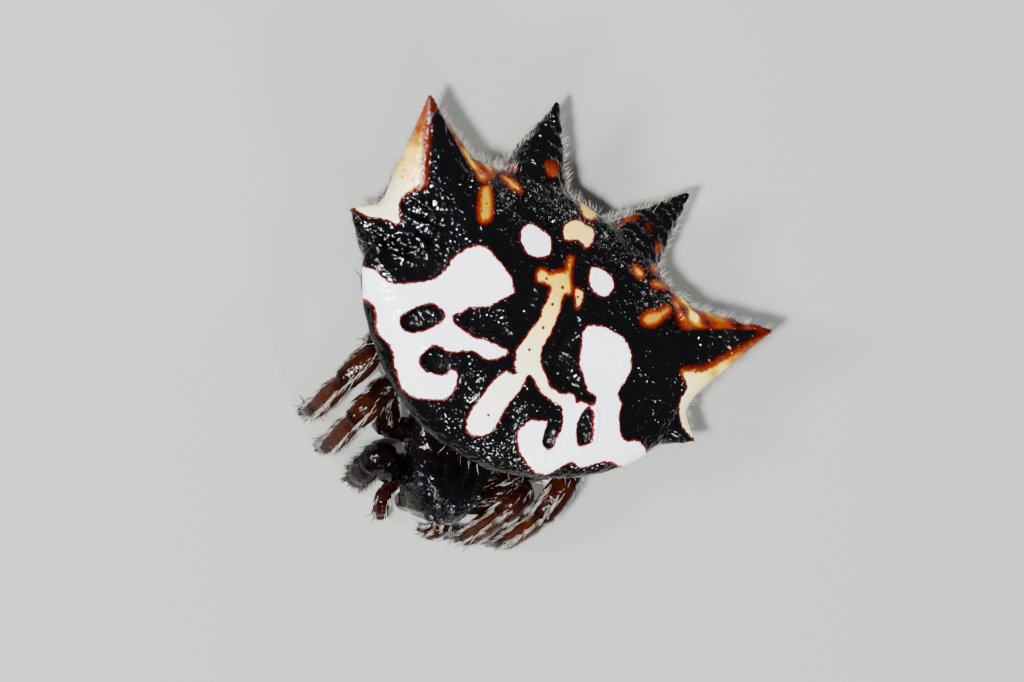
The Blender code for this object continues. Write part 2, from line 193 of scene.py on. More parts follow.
def put(name: str, data: bpy.types.ID) -> bpy.types.Object:
    """A new object for some data, linked to the scene."""
    made = bpy.data.objects.new(name, data)
    bpy.context.scene.collection.objects.link(made)
    return made


def fill_mesh(mesh: bpy.types.Mesh, surface: Surface, scale: float) -> None:
    """Put the arrays of a surface into a mesh, at a scale.

    Args:
        mesh: empty mesh.
        surface: what goes in.
        scale: factor on the vertices.
    """
    quads, triangles = surface.quads.astype(np.int32), surface.triangles.astype(np.int32)
    mesh.vertices.add(len(surface.points))
    mesh.vertices.foreach_set("co", (surface.points * scale).astype(np.float32).ravel())
    corners = np.concatenate([quads.ravel(), triangles.ravel()])
    mesh.loops.add(len(corners))
    mesh.loops.foreach_set("vertex_index", corners)
    sizes = np.concatenate([np.full(len(quads), 4), np.full(len(triangles), 3)])
    mesh.polygons.add(len(sizes))
    mesh.polygons.foreach_set("loop_start", np.concatenate([[0], np.cumsum(sizes)[:-1]]).astype(np.int32))
    mesh.update(calc_edges=True)
    mesh.validate()


def piece_of(
    name: str,
    surface: Surface,
    finish: bpy.types.Material,
    replaces: Sequence[str] = (),
    tints: dict[str, Array] | None = None,
    unwrap: Array | None = None,
) -> None:
    """Put in a finished piece: its mesh in the row frame, its finish, its body and the node it stands for.

    Args:
        name: name of the piece.
        surface: its faces, in millimetres in the spider's own frame.
        finish: its material.
        replaces: solids that it stands for.
        tints: values at its vertices, by attribute name.
        unwrap: place of each vertex on the OFBake map.
    """
    mesh = bpy.data.meshes.new(name)
    fill_mesh(mesh, Surface(surface.points + BODY_SHIFT, surface.quads, surface.triangles), MM)
    for label, values in (tints or {}).items():
        mesh.attributes.new(label, "FLOAT", "POINT").data.foreach_set("value", values.astype(np.float32))
    if unwrap is not None:
        corners = np.empty(len(mesh.loops), np.int32)
        mesh.loops.foreach_get("vertex_index", corners)
        places = unwrap[corners].astype(np.float32).ravel()
        mesh.uv_layers.new(name="OFBake").uv.foreach_set("vector", places)
    mesh.polygons.foreach_set("use_smooth", np.ones(len(mesh.polygons), bool))
    mesh.materials.append(finish)
    piece = put(name, mesh)
    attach(piece, "root")
    if replaces:
        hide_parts(*replaces)
    LOG.info("%s: %d vertices, %d faces", name, len(mesh.vertices), len(mesh.polygons))


# Finishes.


class Paint:
    """A short way to add and join the shader nodes of one finish."""

    def __init__(self, name: str) -> None:
        """Start a material with a Principled shader."""
        self.material = bpy.data.materials.new(name)
        self.material.use_nodes = True
        self.tree = self.material.node_tree
        self.tree.nodes.clear()
        self.shader = self.node("BsdfPrincipled")
        self.node("OutputMaterial", Surface=self.shader.outputs["BSDF"])
        self.place = self.node("TexCoord").outputs["Object"]

    def feed(self, socket: Socket, value: object) -> None:
        """Join an output to a socket, or set the socket to a plain value."""
        if isinstance(value, Socket):
            self.tree.links.new(value, socket)
        else:
            socket.default_value = value

    def node(self, kind: str, **inputs: object) -> bpy.types.ShaderNode:
        """Add a node and feed its inputs by name, with _ for a space."""
        made = self.tree.nodes.new("ShaderNode" + kind)
        for name, value in inputs.items():
            self.feed(made.inputs[name.replace("_", " ")], value)
        return made

    def work(self, kind: str, operation: str, first: object, second: object) -> bpy.types.ShaderNode:
        """Add an arithmetic node for two inputs, which are outputs or plain values.

        Args:
            kind: Math or VectorMath.
            operation: name of the operation, in capitals.
            first: first input.
            second: second input.

        Returns:
            The node.
        """
        made = self.node(kind)
        made.operation = operation
        self.feed(made.inputs[0], first)
        self.feed(made.inputs[1], second)
        return made

    def step(self, operation: str, first: object, second: object) -> Socket:
        """The result of one step of arithmetic."""
        return self.work("Math", operation, first, second).outputs[0]

    def plus(self, first: object, second: object) -> Socket:
        """The sum of two values."""
        return self.step("ADD", first, second)

    def times(self, first: object, second: object) -> Socket:
        """The product of two values."""
        return self.step("MULTIPLY", first, second)

    def clamped(self, result: Socket) -> Socket:
        """The result of an arithmetic node, kept between 0 and 1."""
        result.node.use_clamp = True
        return result

    def tint(self, name: str) -> Socket:
        """The value stored at the vertices under a name."""
        node = self.node("Attribute")
        node.attribute_name = name
        return node.outputs["Fac"]

    def spread(self, value: object, low: float, high: float) -> Socket:
        """A value stretched so that low becomes 0 and high becomes 1, clamped."""
        return self.node("MapRange", Value=value, From_Min=low, From_Max=high).outputs["Result"]

    def cloud(self, pitch: float, detail: float = 2.0, rough: float = 0.5) -> Socket:
        """Noise whose blotches are about pitch millimetres across."""
        scale = 1.0 / (pitch * MM)
        node = self.node("TexNoise", Vector=self.place, Scale=scale, Detail=detail, Roughness=rough)
        return node.outputs["Fac"]

    def cells(self, pitch: float) -> bpy.types.ShaderNode:
        """Random cells about pitch millimetres apart."""
        return self.node("TexVoronoi", Vector=self.place, Scale=1.0 / (pitch * MM))

    def grains(self, pitch: float) -> Socket:
        """Round grains about pitch millimetres apart: 1 - 2.6 d^2, 1 on top of each and 0 between them."""
        distance = self.cells(pitch).outputs["Distance"]
        return self.clamped(self.step("SUBTRACT", 1.0, self.times(self.times(distance, distance), 2.6)))

    def dots(self, pitch: float, radius: float, rarity: float) -> Socket:
        """Scattered round dots: 1 inside each, on the share of cells whose random number passes the rarity.

        Args:
            pitch: distance between the places where a dot may be, in millimetres.
            radius: radius of a dot as a share of the pitch.
            rarity: share of the places that stay bare.

        Returns:
            The output.
        """
        cells = self.cells(pitch)
        inside = self.spread(cells.outputs["Distance"], radius * 1.3, radius * 0.7)
        split = self.node("SeparateColor", Color=cells.outputs["Color"])
        return self.times(inside, self.step("GREATER_THAN", split.outputs["Red"], rarity))

    def near_plan(self, dots: Sequence[Triple]) -> Socket:
        """Distance in plan to the nearest of some dots (x, y, radius), as a multiple of its radius."""
        flat = self.work("VectorMath", "MULTIPLY", self.place, (1.0, 1.0, 0.0)).outputs["Vector"]
        nearest: object = 9.0
        for x, y, radius in dots:
            middle = ((x + BODY_SHIFT[0]) * MM, (y + BODY_SHIFT[1]) * MM, 0.0)
            gap = self.work("VectorMath", "DISTANCE", flat, middle).outputs["Value"]
            nearest = self.step("MINIMUM", nearest, self.step("DIVIDE", gap, radius * MM))
        return nearest

    def ramp(self, value: object, stops: Sequence[tuple[float, Triple]]) -> Socket:
        """A colour read from stops of (place, colour)."""
        node = self.node("ValToRGB", Fac=value)
        band = node.color_ramp
        while len(band.elements) < len(stops):
            band.elements.new(1.0)
        for element, (place, colour) in zip(band.elements, stops):
            element.position = place
            element.color = (*colour, 1.0)
        return node.outputs["Color"]

    def mix(self, share: object, first: object, second: object) -> Socket:
        """The first colour turned into the second by a share."""
        node = self.node("Mix")
        node.data_type = "RGBA"
        self.feed(node.inputs["Factor"], share)
        for name, colour in (("A", first), ("B", second)):
            self.feed(node.inputs[name], colour if isinstance(colour, Socket) else (*colour, 1.0))
        return node.outputs["Result"]

    def shade(self, colour: Socket, factor: Socket) -> Socket:
        """A colour multiplied by a factor."""
        node = self.node("VectorMath")
        node.operation = "SCALE"
        self.feed(node.inputs[0], colour)
        self.feed(node.inputs["Scale"], factor)
        return node.outputs["Vector"]

    def relief(self, height: object, depth: float, below: Socket | None = None) -> Socket:
        """Bump of a depth in millimetres for a height from 0 to 1, over another bump if one is given."""
        node = self.node("Bump", Distance=depth * MM, Height=height)
        if below is not None:
            self.feed(node.inputs["Normal"], below)
        return node.outputs["Normal"]

    def finish(self, **values: object) -> bpy.types.Material:
        """Feed the shader's sockets by name, with _ for a space, and return the material."""
        for name, value in values.items():
            self.feed(self.shader.inputs[name.replace("_", " ")], value)
        return self.material


BLACK: Triple = (0.0013, 0.0011, 0.0015)
ENAMEL: Triple = (0.88, 0.88, 0.95)
FRECKLE: Triple = (0.074, 0.011, 0.0026)
GLOSS_IOR = 1.35
# Colours across a mark's edge, cool round the white marks and warm round the yellow ones.
COOL_RIM = (
    (0.0, BLACK), (0.24, (0.005, 0.0006, 0.0006)), (0.52, (0.040, 0.0022, 0.0020)),
    (0.80, (0.15, 0.016, 0.012)), (1.0, (0.60, 0.46, 0.44)),
)
WARM_RIM = (
    (0.0, BLACK), (0.18, (0.007, 0.0006, 0.0)), (0.42, (0.055, 0.0025, 0.0)), (0.62, (0.11, 0.010, 0.0)),
    (0.82, (0.17, 0.022, 0.0)), (1.0, (0.21, 0.045, 0.0)),
)
# Colours inside a mark, from white to dark red, by its warmth.
INSIDES = (
    (0.0, ENAMEL), (0.28, (0.88, 0.80, 0.52)), (0.45, (0.88, 0.60, 0.12)), (0.58, (0.60, 0.37, 0.004)),
    (0.68, (0.30, 0.125, 0.0)), (0.80, (0.20, 0.034, 0.0)), (0.92, (0.13, 0.015, 0.0)),
    (1.0, (0.05, 0.004, 0.0)),
)
# Colours of the spines' edges, from black to cream, by their heat.
HEAT = (
    (0.0, BLACK), (0.16, (0.007, 0.0006, 0.0)), (0.34, (0.055, 0.0025, 0.0)), (0.50, (0.11, 0.010, 0.0)),
    (0.64, (0.18, 0.026, 0.0)), (0.78, (0.27, 0.105, 0.0)), (0.90, (0.60, 0.37, 0.004)),
    (1.0, (0.88, 0.64, 0.16)),
)
# The dots on the middle line: place in plan and radius.
MIDDLE_DOTS: tuple[Triple, ...] = (
    (0.02, 1.10, 0.060), (0.00, 0.64, 0.055), (0.08, 0.07, 0.055), (0.07, -0.52, 0.055),
    (0.12, -2.25, 0.050), (-0.42, 1.06, 0.050), (0.46, 1.12, 0.045),
)


@dataclass(frozen=True)
class ShieldFinish:
    """Black granular lacquer with enamel-like marks that have a thin dark red line round them."""

    grain_pitch: float = 0.105
    grain_depth: float = 0.009
    edge_wander: float = 0.11
    warm_depth: float = 0.12
    warm_gain: float = 0.14
    blotches: float = 0.45
    enamel_smooth: float = 0.72
    fine_relief: Pair = (0.11, 0.009)
    broad_relief: Pair = (0.24, 0.052)
    dot_pitch: float = 0.21
    dot_radius: float = 0.15
    dot_rarity: float = 0.58

    def colour(self, paint: Paint) -> tuple[Socket, Socket]:
        """Colour of marks and lacquer, and how far each place is enamel.

        Args:
            paint: the material's nodes.

        Returns:
            The colour, and the share of enamel.
        """
        wander = paint.times(paint.step("SUBTRACT", paint.cloud(0.10, 3.0, 0.6), 0.5), self.edge_wander)
        depth = paint.plus(paint.tint("mark"), wander)
        line_width = paint.tint("line")
        hot = paint.spread(line_width, 0.048, 0.072)
        rim = paint.spread(paint.step("DIVIDE", depth, line_width), -1.1, 1.1)
        shallow = paint.times(paint.spread(depth, self.warm_depth, 0.05), hot)
        warm = paint.plus(paint.tint("warm"), paint.times(shallow, self.warm_gain))
        line = paint.mix(hot, paint.ramp(rim, COOL_RIM), paint.ramp(rim, WARM_RIM))
        marks = paint.mix(paint.spread(rim, 0.80, 1.0), line, paint.ramp(warm, INSIDES))
        marks = paint.shade(marks, paint.plus(0.90, paint.times(paint.cloud(0.12, 4.0, 0.7), 0.2)))
        blotch = paint.times(paint.step("SUBTRACT", paint.cloud(0.24, 4.0, 0.65), 0.5), 0.9)
        glow = paint.tint("glow")
        uneven = paint.plus(glow, paint.times(blotch, self.blotches))
        heat = paint.clamped(paint.times(uneven, paint.spread(glow, 0.03, 0.12)))
        colour = paint.mix(paint.spread(heat, 0.10, 0.22), marks, paint.ramp(heat, HEAT))
        enamel = paint.step("MAXIMUM", paint.spread(rim, 0.55, 0.95), paint.spread(heat, 0.35, 0.6))
        enamel = paint.clamped(enamel)
        warm_mark = paint.times(paint.spread(warm, 0.26, 0.34), paint.spread(rim, 0.9, 1.0))
        warm_part = paint.clamped(paint.step("MAXIMUM", warm_mark, paint.spread(heat, 0.6, 0.8)))
        dots = paint.times(paint.dots(self.dot_pitch, self.dot_radius, self.dot_rarity), warm_part)
        named = paint.times(paint.spread(paint.near_plan(MIDDLE_DOTS), 1.0, 0.55), enamel)
        dots = paint.step("MAXIMUM", paint.times(dots, 0.8), named)
        return paint.mix(dots, colour, FRECKLE), enamel

    def make(self) -> bpy.types.Material:
        """Build the material."""
        paint = Paint("shield_lacquer")
        colour, enamel = self.colour(paint)
        lacquer = paint.step("SUBTRACT", 1.0, paint.times(enamel, self.enamel_smooth))
        bump = paint.relief(paint.times(paint.grains(self.grain_pitch), lacquer), self.grain_depth)
        for pitch, depth in (self.fine_relief, self.broad_relief):
            bump = paint.relief(paint.times(paint.cloud(pitch, 1.0), lacquer), depth, bump)
        rough = paint.plus(0.04, paint.times(paint.cloud(0.16), 0.06))
        rough = paint.plus(rough, paint.times(enamel, 0.12))
        return paint.finish(Base_Color=colour, Roughness=rough, Normal=bump, IOR=GLOSS_IOR)


@dataclass(frozen=True)
class HardSkinFinish:
    """Dark granular hard skin of the head, jaws and plates."""

    name: str = "head_skin"
    colour: Triple = BLACK
    second: Triple = (0.003, 0.0012, 0.0012)
    grain_pitch: float = 0.095
    grain_depth: float = 0.009
    fine_relief: Pair = (0.10, 0.010)
    broad_relief: Pair = (0.20, 0.056)
    ior: float = 1.27

    def make(self) -> bpy.types.Material:
        """Build the material."""
        paint = Paint(self.name)
        colour = paint.mix(paint.spread(paint.cloud(0.5, 3.0), 0.48, 0.75), self.colour, self.second)
        bump = paint.relief(paint.grains(self.grain_pitch), self.grain_depth)
        for pitch, depth in (self.fine_relief, self.broad_relief):
            bump = paint.relief(paint.cloud(pitch, 1.0), depth, bump)
        rough = paint.plus(0.05, paint.times(paint.cloud(0.14), 0.07))
        return paint.finish(Base_Color=colour, Roughness=rough, Normal=bump, IOR=self.ior)


@dataclass(frozen=True)
class LimbFinish:
    """Red-brown horn of the legs by the tone stored on them, painted shade on the right front leg, with low
    uneven relief.
    """

    dark: Triple = (0.0011, 0.0007, 0.0007)
    deep: Triple = (0.0105, 0.0014, 0.0007)
    warm: Triple = (0.030, 0.0060, 0.0015)
    fine_relief: Pair = (0.10, 0.014)
    broad_relief: Pair = (0.26, 0.045)
    ior: float = 1.24

    def make(self) -> bpy.types.Material:
        """Build the material."""
        paint = Paint("limb_horn")
        tone = paint.tint("tone")
        patch = paint.times(paint.step("SUBTRACT", paint.cloud(0.22, 3.0), 0.5), 0.8)
        share = paint.clamped(paint.plus(tone, paint.times(patch, paint.spread(tone, 0.0, 0.3))))
        colour = paint.ramp(share, ((0.0, self.dark), (0.45, self.deep), (1.0, self.warm)))
        bump = None
        for pitch, depth in (self.fine_relief, self.broad_relief):
            bump = paint.relief(paint.cloud(pitch, 1.0), depth, bump)
        rough = paint.plus(0.08, paint.times(paint.cloud(0.1), 0.14))
        return paint.finish(Base_Color=colour, Roughness=rough, Normal=bump, IOR=self.ior)


@dataclass(frozen=True)
class EyeFinish:
    """Clear black eye lens."""

    colour: Triple = (0.002, 0.003, 0.006)
    second: Triple = (0.006, 0.010, 0.022)

    def make(self) -> bpy.types.Material:
        """Build the material."""
        paint = Paint("eye_lens")
        colour = paint.mix(paint.cloud(0.05), self.colour, self.second)
        return paint.finish(Base_Color=colour, Roughness=0.05, Coat_Weight=1.0, Coat_Roughness=0.03)


@dataclass(frozen=True)
class HairFinish:
    """Fine horn hair, its colour taken from the shade stored on each hair, 0 dark to 1 white."""

    name: str
    shades: tuple[tuple[float, Triple], ...] = (
        (0.0, (0.002, 0.0012, 0.0012)), (0.35, (0.026, 0.008, 0.004)),
        (0.65, (0.22, 0.16, 0.12)), (1.0, (0.74, 0.71, 0.66)),
    )

    def make(self) -> bpy.types.Material:
        """Build the material."""
        paint = Paint(self.name)
        colour = paint.ramp(paint.tint("shade"), self.shades)
        rough = paint.plus(0.30, paint.times(paint.cloud(0.05), 0.15))
        return paint.finish(Base_Color=colour, Roughness=rough, IOR=GLOSS_IOR)


# Hairs.


@dataclass(frozen=True)
class Bristle:
    """One kind of hair: length and root radius in millimetres, lean along its lie from 0 to 1, and shade."""

    length: Pair
    radius: float
    lean: float
    shade: Pair
    bend: float = 0.30
    wander: float = 0.16


STRIPE = Bristle((0.15, 0.30), 0.0042, 0.80, (0.76, 1.0), 0.16, 0.09)
# Stripe hairs of the right front leg, near black as painted shade since that leg stands in shadow.
PAINTED_SHADE_STRIPE = Bristle((0.16, 0.34), 0.0048, 0.60, (0.0, 0.12), 0.20, 0.14)
LEG_DOWN = Bristle((0.10, 0.20), 0.0070, 0.70, (0.0, 0.22), 0.25, 0.14)
LEG_SPINE = Bristle((0.22, 0.36), 0.013, 0.55, (0.05, 0.30), 0.12)
MARGIN = Bristle((0.10, 0.28), 0.0046, 0.32, (0.62, 0.95), 0.22, 0.22)
SHIELD_DOWN = Bristle((0.06, 0.13), 0.0040, 0.70, (0.05, 0.38), 0.30, 0.30)
BELLY = Bristle((0.10, 0.20), 0.0065, 0.60, (0.15, 0.55), 0.30, 0.30)
BROW = Bristle((0.07, 0.18), 0.0050, 0.70, (0.0, 0.16), 0.30, 0.25)
# How far a root is moved from its vertex, in millimetres.
ROOT_SHIFT = 0.018


@dataclass
class Roots:
    """Where hairs grow: places, skin normals, the lie of each and its place on an unwrap of the skin."""

    places: Array
    normals: Array
    lies: Array
    patches: Array

    def kept(self, keep: Array) -> "Roots":
        """Those of the roots that a test keeps."""
        return Roots(self.places[keep], self.normals[keep], self.lies[keep], self.patches[keep])


@dataclass
class Hairs:
    """Hairs of one piece, gathered kind by kind.

    Attributes:
        patch: size of each hair on the unwrap.
        shares: where the rings of a hair stand along it.
        taper: power of the radius.
        sink: how deep the root is in the skin, and the room kept over the floor, in millimetres.
        least_room: shortest fall that a hair keeps, in millimetres.
    """

    patch: float = 0.003
    shares: tuple[float, ...] = (0.0, 0.38, 0.74)
    taper: float = 0.7
    sink: float = 0.015
    least_room: float = 0.012
    surfaces: list[Surface] = field(default_factory=list)
    shades: list[Array] = field(default_factory=list)
    maps: list[Array] = field(default_factory=list)

    def grow(self, roots: Roots, kind: Bristle, rng: np.random.Generator) -> None:
        """Grow one hair from each root.

        Its line is root + L (s d + bend s^2 lie), where d leans from the normal along the lie, and its
        three-sided section shrinks as (1 - s)^taper to a point. L is shortened where the tip would pass
        the floor.

        Args:
            roots: where the hairs stand.
            kind: what they are like.
            rng: source of their differences.
        """
        count = len(roots.places)
        if not count:
            return
        heading = unit(roots.normals * (1 - kind.lean) + roots.lies * kind.lean)
        heading = unit(heading + rng.normal(size=(count, 3)) * kind.wander)
        length = rng.uniform(*kind.length, count)[:, None]
        fall = -(heading[:, 2:] + kind.bend * roots.lies[:, 2:])
        room = np.maximum(roots.places[:, 2:] - self.sink, self.least_room) / np.maximum(fall, 0.01)
        length = np.where(fall > 0, np.minimum(length, room), length)
        radius = kind.radius * rng.uniform(0.8, 1.2, count)[:, None, None, None]
        side = unit(np.cross(heading, roots.normals + 0.3 * roots.lies + 1e-3))
        other = np.cross(heading, side)
        share = np.array(self.shares)
        start = roots.places - self.sink * roots.normals

        def along(s: Array) -> Array:
            """Middle of the hair at a share of its length."""
            return start + length * (s * heading + kind.bend * s**2 * roots.lies)

        middle = np.stack([along(s) for s in share], axis=1)
        angle = np.arange(3) * 2 * math.pi / 3
        cosine, sine = np.cos(angle)[:, None], np.sin(angle)[:, None]
        ring = side[:, None, None, :] * cosine + other[:, None, None, :] * sine
        rings = middle[:, :, None, :] + ring * radius * ((1 - share) ** self.taper)[None, :, None, None]
        points = np.concatenate([rings.reshape(count, 9, 3), along(np.ones(1))[:, None, :]], axis=1)
        quads, triangles = [], [(2, 1, 0)]
        for k in range(3):
            j = (k + 1) % 3
            quads += [(k, j, j + 3, k + 3), (k + 3, j + 3, j + 6, k + 6)]
            triangles.append((k + 6, j + 6, 9))
        first = np.arange(count)[:, None, None] * 10
        faces = [(first + np.array(rows)).reshape(-1, len(rows[0])) for rows in (quads, triangles)]
        self.surfaces.append(Surface(points.reshape(-1, 3), *faces))
        self.shades.append(np.repeat(rng.uniform(*kind.shade, count), 10))
        spread = np.array([(0.5 * k - 0.5, s - 0.5) for s in self.shares for k in range(3)] + [(0.0, 0.5)])
        self.maps.append((roots.patches[:, None, :] + self.patch * spread).reshape(-1, 2))

    def build(self, name: str, slot: str) -> None:
        """Put the hairs in the scene as one piece."""
        finish = HairFinish(f"{name}_horn").make()
        tints = {"shade": np.concatenate(self.shades)}
        piece_of(name, together(self.surfaces), finish, (), tints, np.vstack(self.maps))


def roots_on(
    points: Array, normals: Array, lies: Array, patches: Array, weight: Array, count: int,
    rng: np.random.Generator,
) -> Roots:
    """Roots drawn at the vertices of a skin by weight, each moved a little within the skin.

    Args:
        points: vertices.
        normals: their normals.
        lies: the lie of hair at each.
        patches: their places on the unwrap.
        weight: chance of each vertex, to a factor.
        count: roots to draw.
        rng: source of the draw.

    Returns:
        The roots.
    """
    picked = rng.choice(len(points), count, p=weight / weight.sum())
    shift = rng.normal(size=(count, 3)) * ROOT_SHIFT
    normal = normals[picked]
    shift -= normal * (shift * normal).sum(axis=1, keepdims=True)
    lie = lies[picked] - normal * (lies[picked] * normal).sum(axis=1, keepdims=True)
    return Roots(points[picked] + shift, normal, unit(lie), patches[picked])


# The shield with its wall, underside and six spines.


@dataclass(frozen=True)
class Spine:
    """One spine of the shield, given on the left side: root, tip, half sizes at the root and taper power."""

    root: Triple
    tip: Triple
    half_width: float
    half_height: float
    hollow: float
    tip_radius: float = 0.045
    rings: int = 40
    around: int = 48

    def frame(self, side: float) -> tuple[Array, Array, Array, Array, float]:
        """Root, direction along, across towards the rear and upright to both, and length, on one side."""
        root, tip = np.array(self.root) * flip(side), np.array(self.tip) * flip(side)
        along = tip - root
        length = float(np.linalg.norm(along))
        along = along / length
        rear = np.cross(np.array([0.0, 0.0, 1.0]), along) * side
        rear = rear / np.linalg.norm(rear)
        upright = np.cross(along, rear)
        return root, along, rear, upright * np.sign(upright[2]), length

    def surface(self, side: float) -> Surface:
        """Closed oval rings that shrink from root to tip as (1 - s)^hollow, on one side."""
        root, along, rear, upright, length = self.frame(side)
        share = np.linspace(0.0, 1.0, self.rings)[:, None, None]
        angle = circle(self.around)[None, :, None]
        taper = (1 - share) ** self.hollow
        wide = self.tip_radius + (self.half_width - self.tip_radius) * taper
        high = self.tip_radius + (self.half_height - self.tip_radius) * taper
        middle = root + along * share * length
        return closed_tube(middle + rear * wide * np.cos(angle) + upright * high * np.sin(angle))

    def local(self, points: Array, side: float) -> tuple[Array, Array, Array]:
        """Share along the spine, place across it (the rear is positive) and distance from its middle line.

        The last two are in half sizes of the spine at that share.

        Args:
            points: places, in millimetres.
            side: 1 for the left, -1 for the right.

        Returns:
            Share, place across and distance.
        """
        root, along, rear, upright, length = self.frame(side)
        offset = points - root
        share = offset @ along / length
        taper = (1 - np.clip(share, 0.0, 1.0)) ** self.hollow + 0.03
        across = offset @ rear / (self.half_width * taper)
        return share, across, np.hypot(across, offset @ upright / (self.half_height * taper))


SPINES = {
    "side": Spine((3.85, 0.03, 3.08), (5.05, -0.01, 3.31), 0.98, 0.62, 1.12),
    "corner": Spine((3.36, 1.34, 3.10), (5.00, 3.03, 3.93), 1.36, 0.86, 1.06),
    "rear": Spine((1.28, 2.46, 2.62), (1.94, 4.78, 2.80), 1.12, 0.92, 1.06),
}


def all_spines() -> Iterator[tuple[Spine, float]]:
    """Each spine with each side."""
    for spine in SPINES.values():
        for side in SIDES.values():
            yield spine, side


# How many units of the marks' outlines make a millimetre.
MARK_UNITS = 100.0


@dataclass(frozen=True)
class Mark:
    """One mark in plan: a smooth closed outline in hundredths of a millimetre, and its colour.

    Attributes:
        outline: places on the outline.
        warmth: warmth of its colour.
        hole: whether it is a hole in the marks before it.
        fade: warmth gained per millimetre back.
        reach: farthest distance that is told apart, in millimetres.
        steps_each: edges between two places of the outline.
    """

    outline: tuple[Pair, ...]
    warmth: float = 0.0
    hole: bool = False
    fade: float = 0.0
    reach: float = 0.6
    steps_each: int = 6

    def depth(self, places: Array) -> Array:
        """How deep each place is inside the outline, negative outside: the distance to the nearest edge.

        Args:
            places: x and y, in millimetres.

        Returns:
            The depth, no less than -reach.
        """
        count = self.steps_each * len(self.outline)
        curve = smooth_path(np.array(self.outline) / MARK_UNITS, count, closed=True)
        low, high = curve.min(axis=0) - self.reach, curve.max(axis=0) + self.reach
        near = np.all((places > low) & (places < high), axis=1)
        result = np.full(len(places), -self.reach)
        here = places[near][:, None, :]
        start, end = curve[None], np.roll(curve, -1, axis=0)[None]
        edge = end - start
        share = np.clip(((here - start) * edge).sum(-1) / np.maximum((edge**2).sum(-1), 1e-12), 0.0, 1.0)
        distance = np.linalg.norm(here - start - edge * share[..., None], axis=-1).min(axis=1)
        crosses = (start[..., 1] > here[..., 1]) != (end[..., 1] > here[..., 1])
        climb = np.where(np.abs(edge[..., 1]) < 1e-12, 1e-12, edge[..., 1])
        cut = start[..., 0] + (here[..., 1] - start[..., 1]) / climb * edge[..., 0]
        inside = (crosses & (here[..., 0] < cut)).sum(axis=1) % 2 == 1
        result[near] = np.maximum(np.where(inside, distance, -distance), -self.reach)
        return result


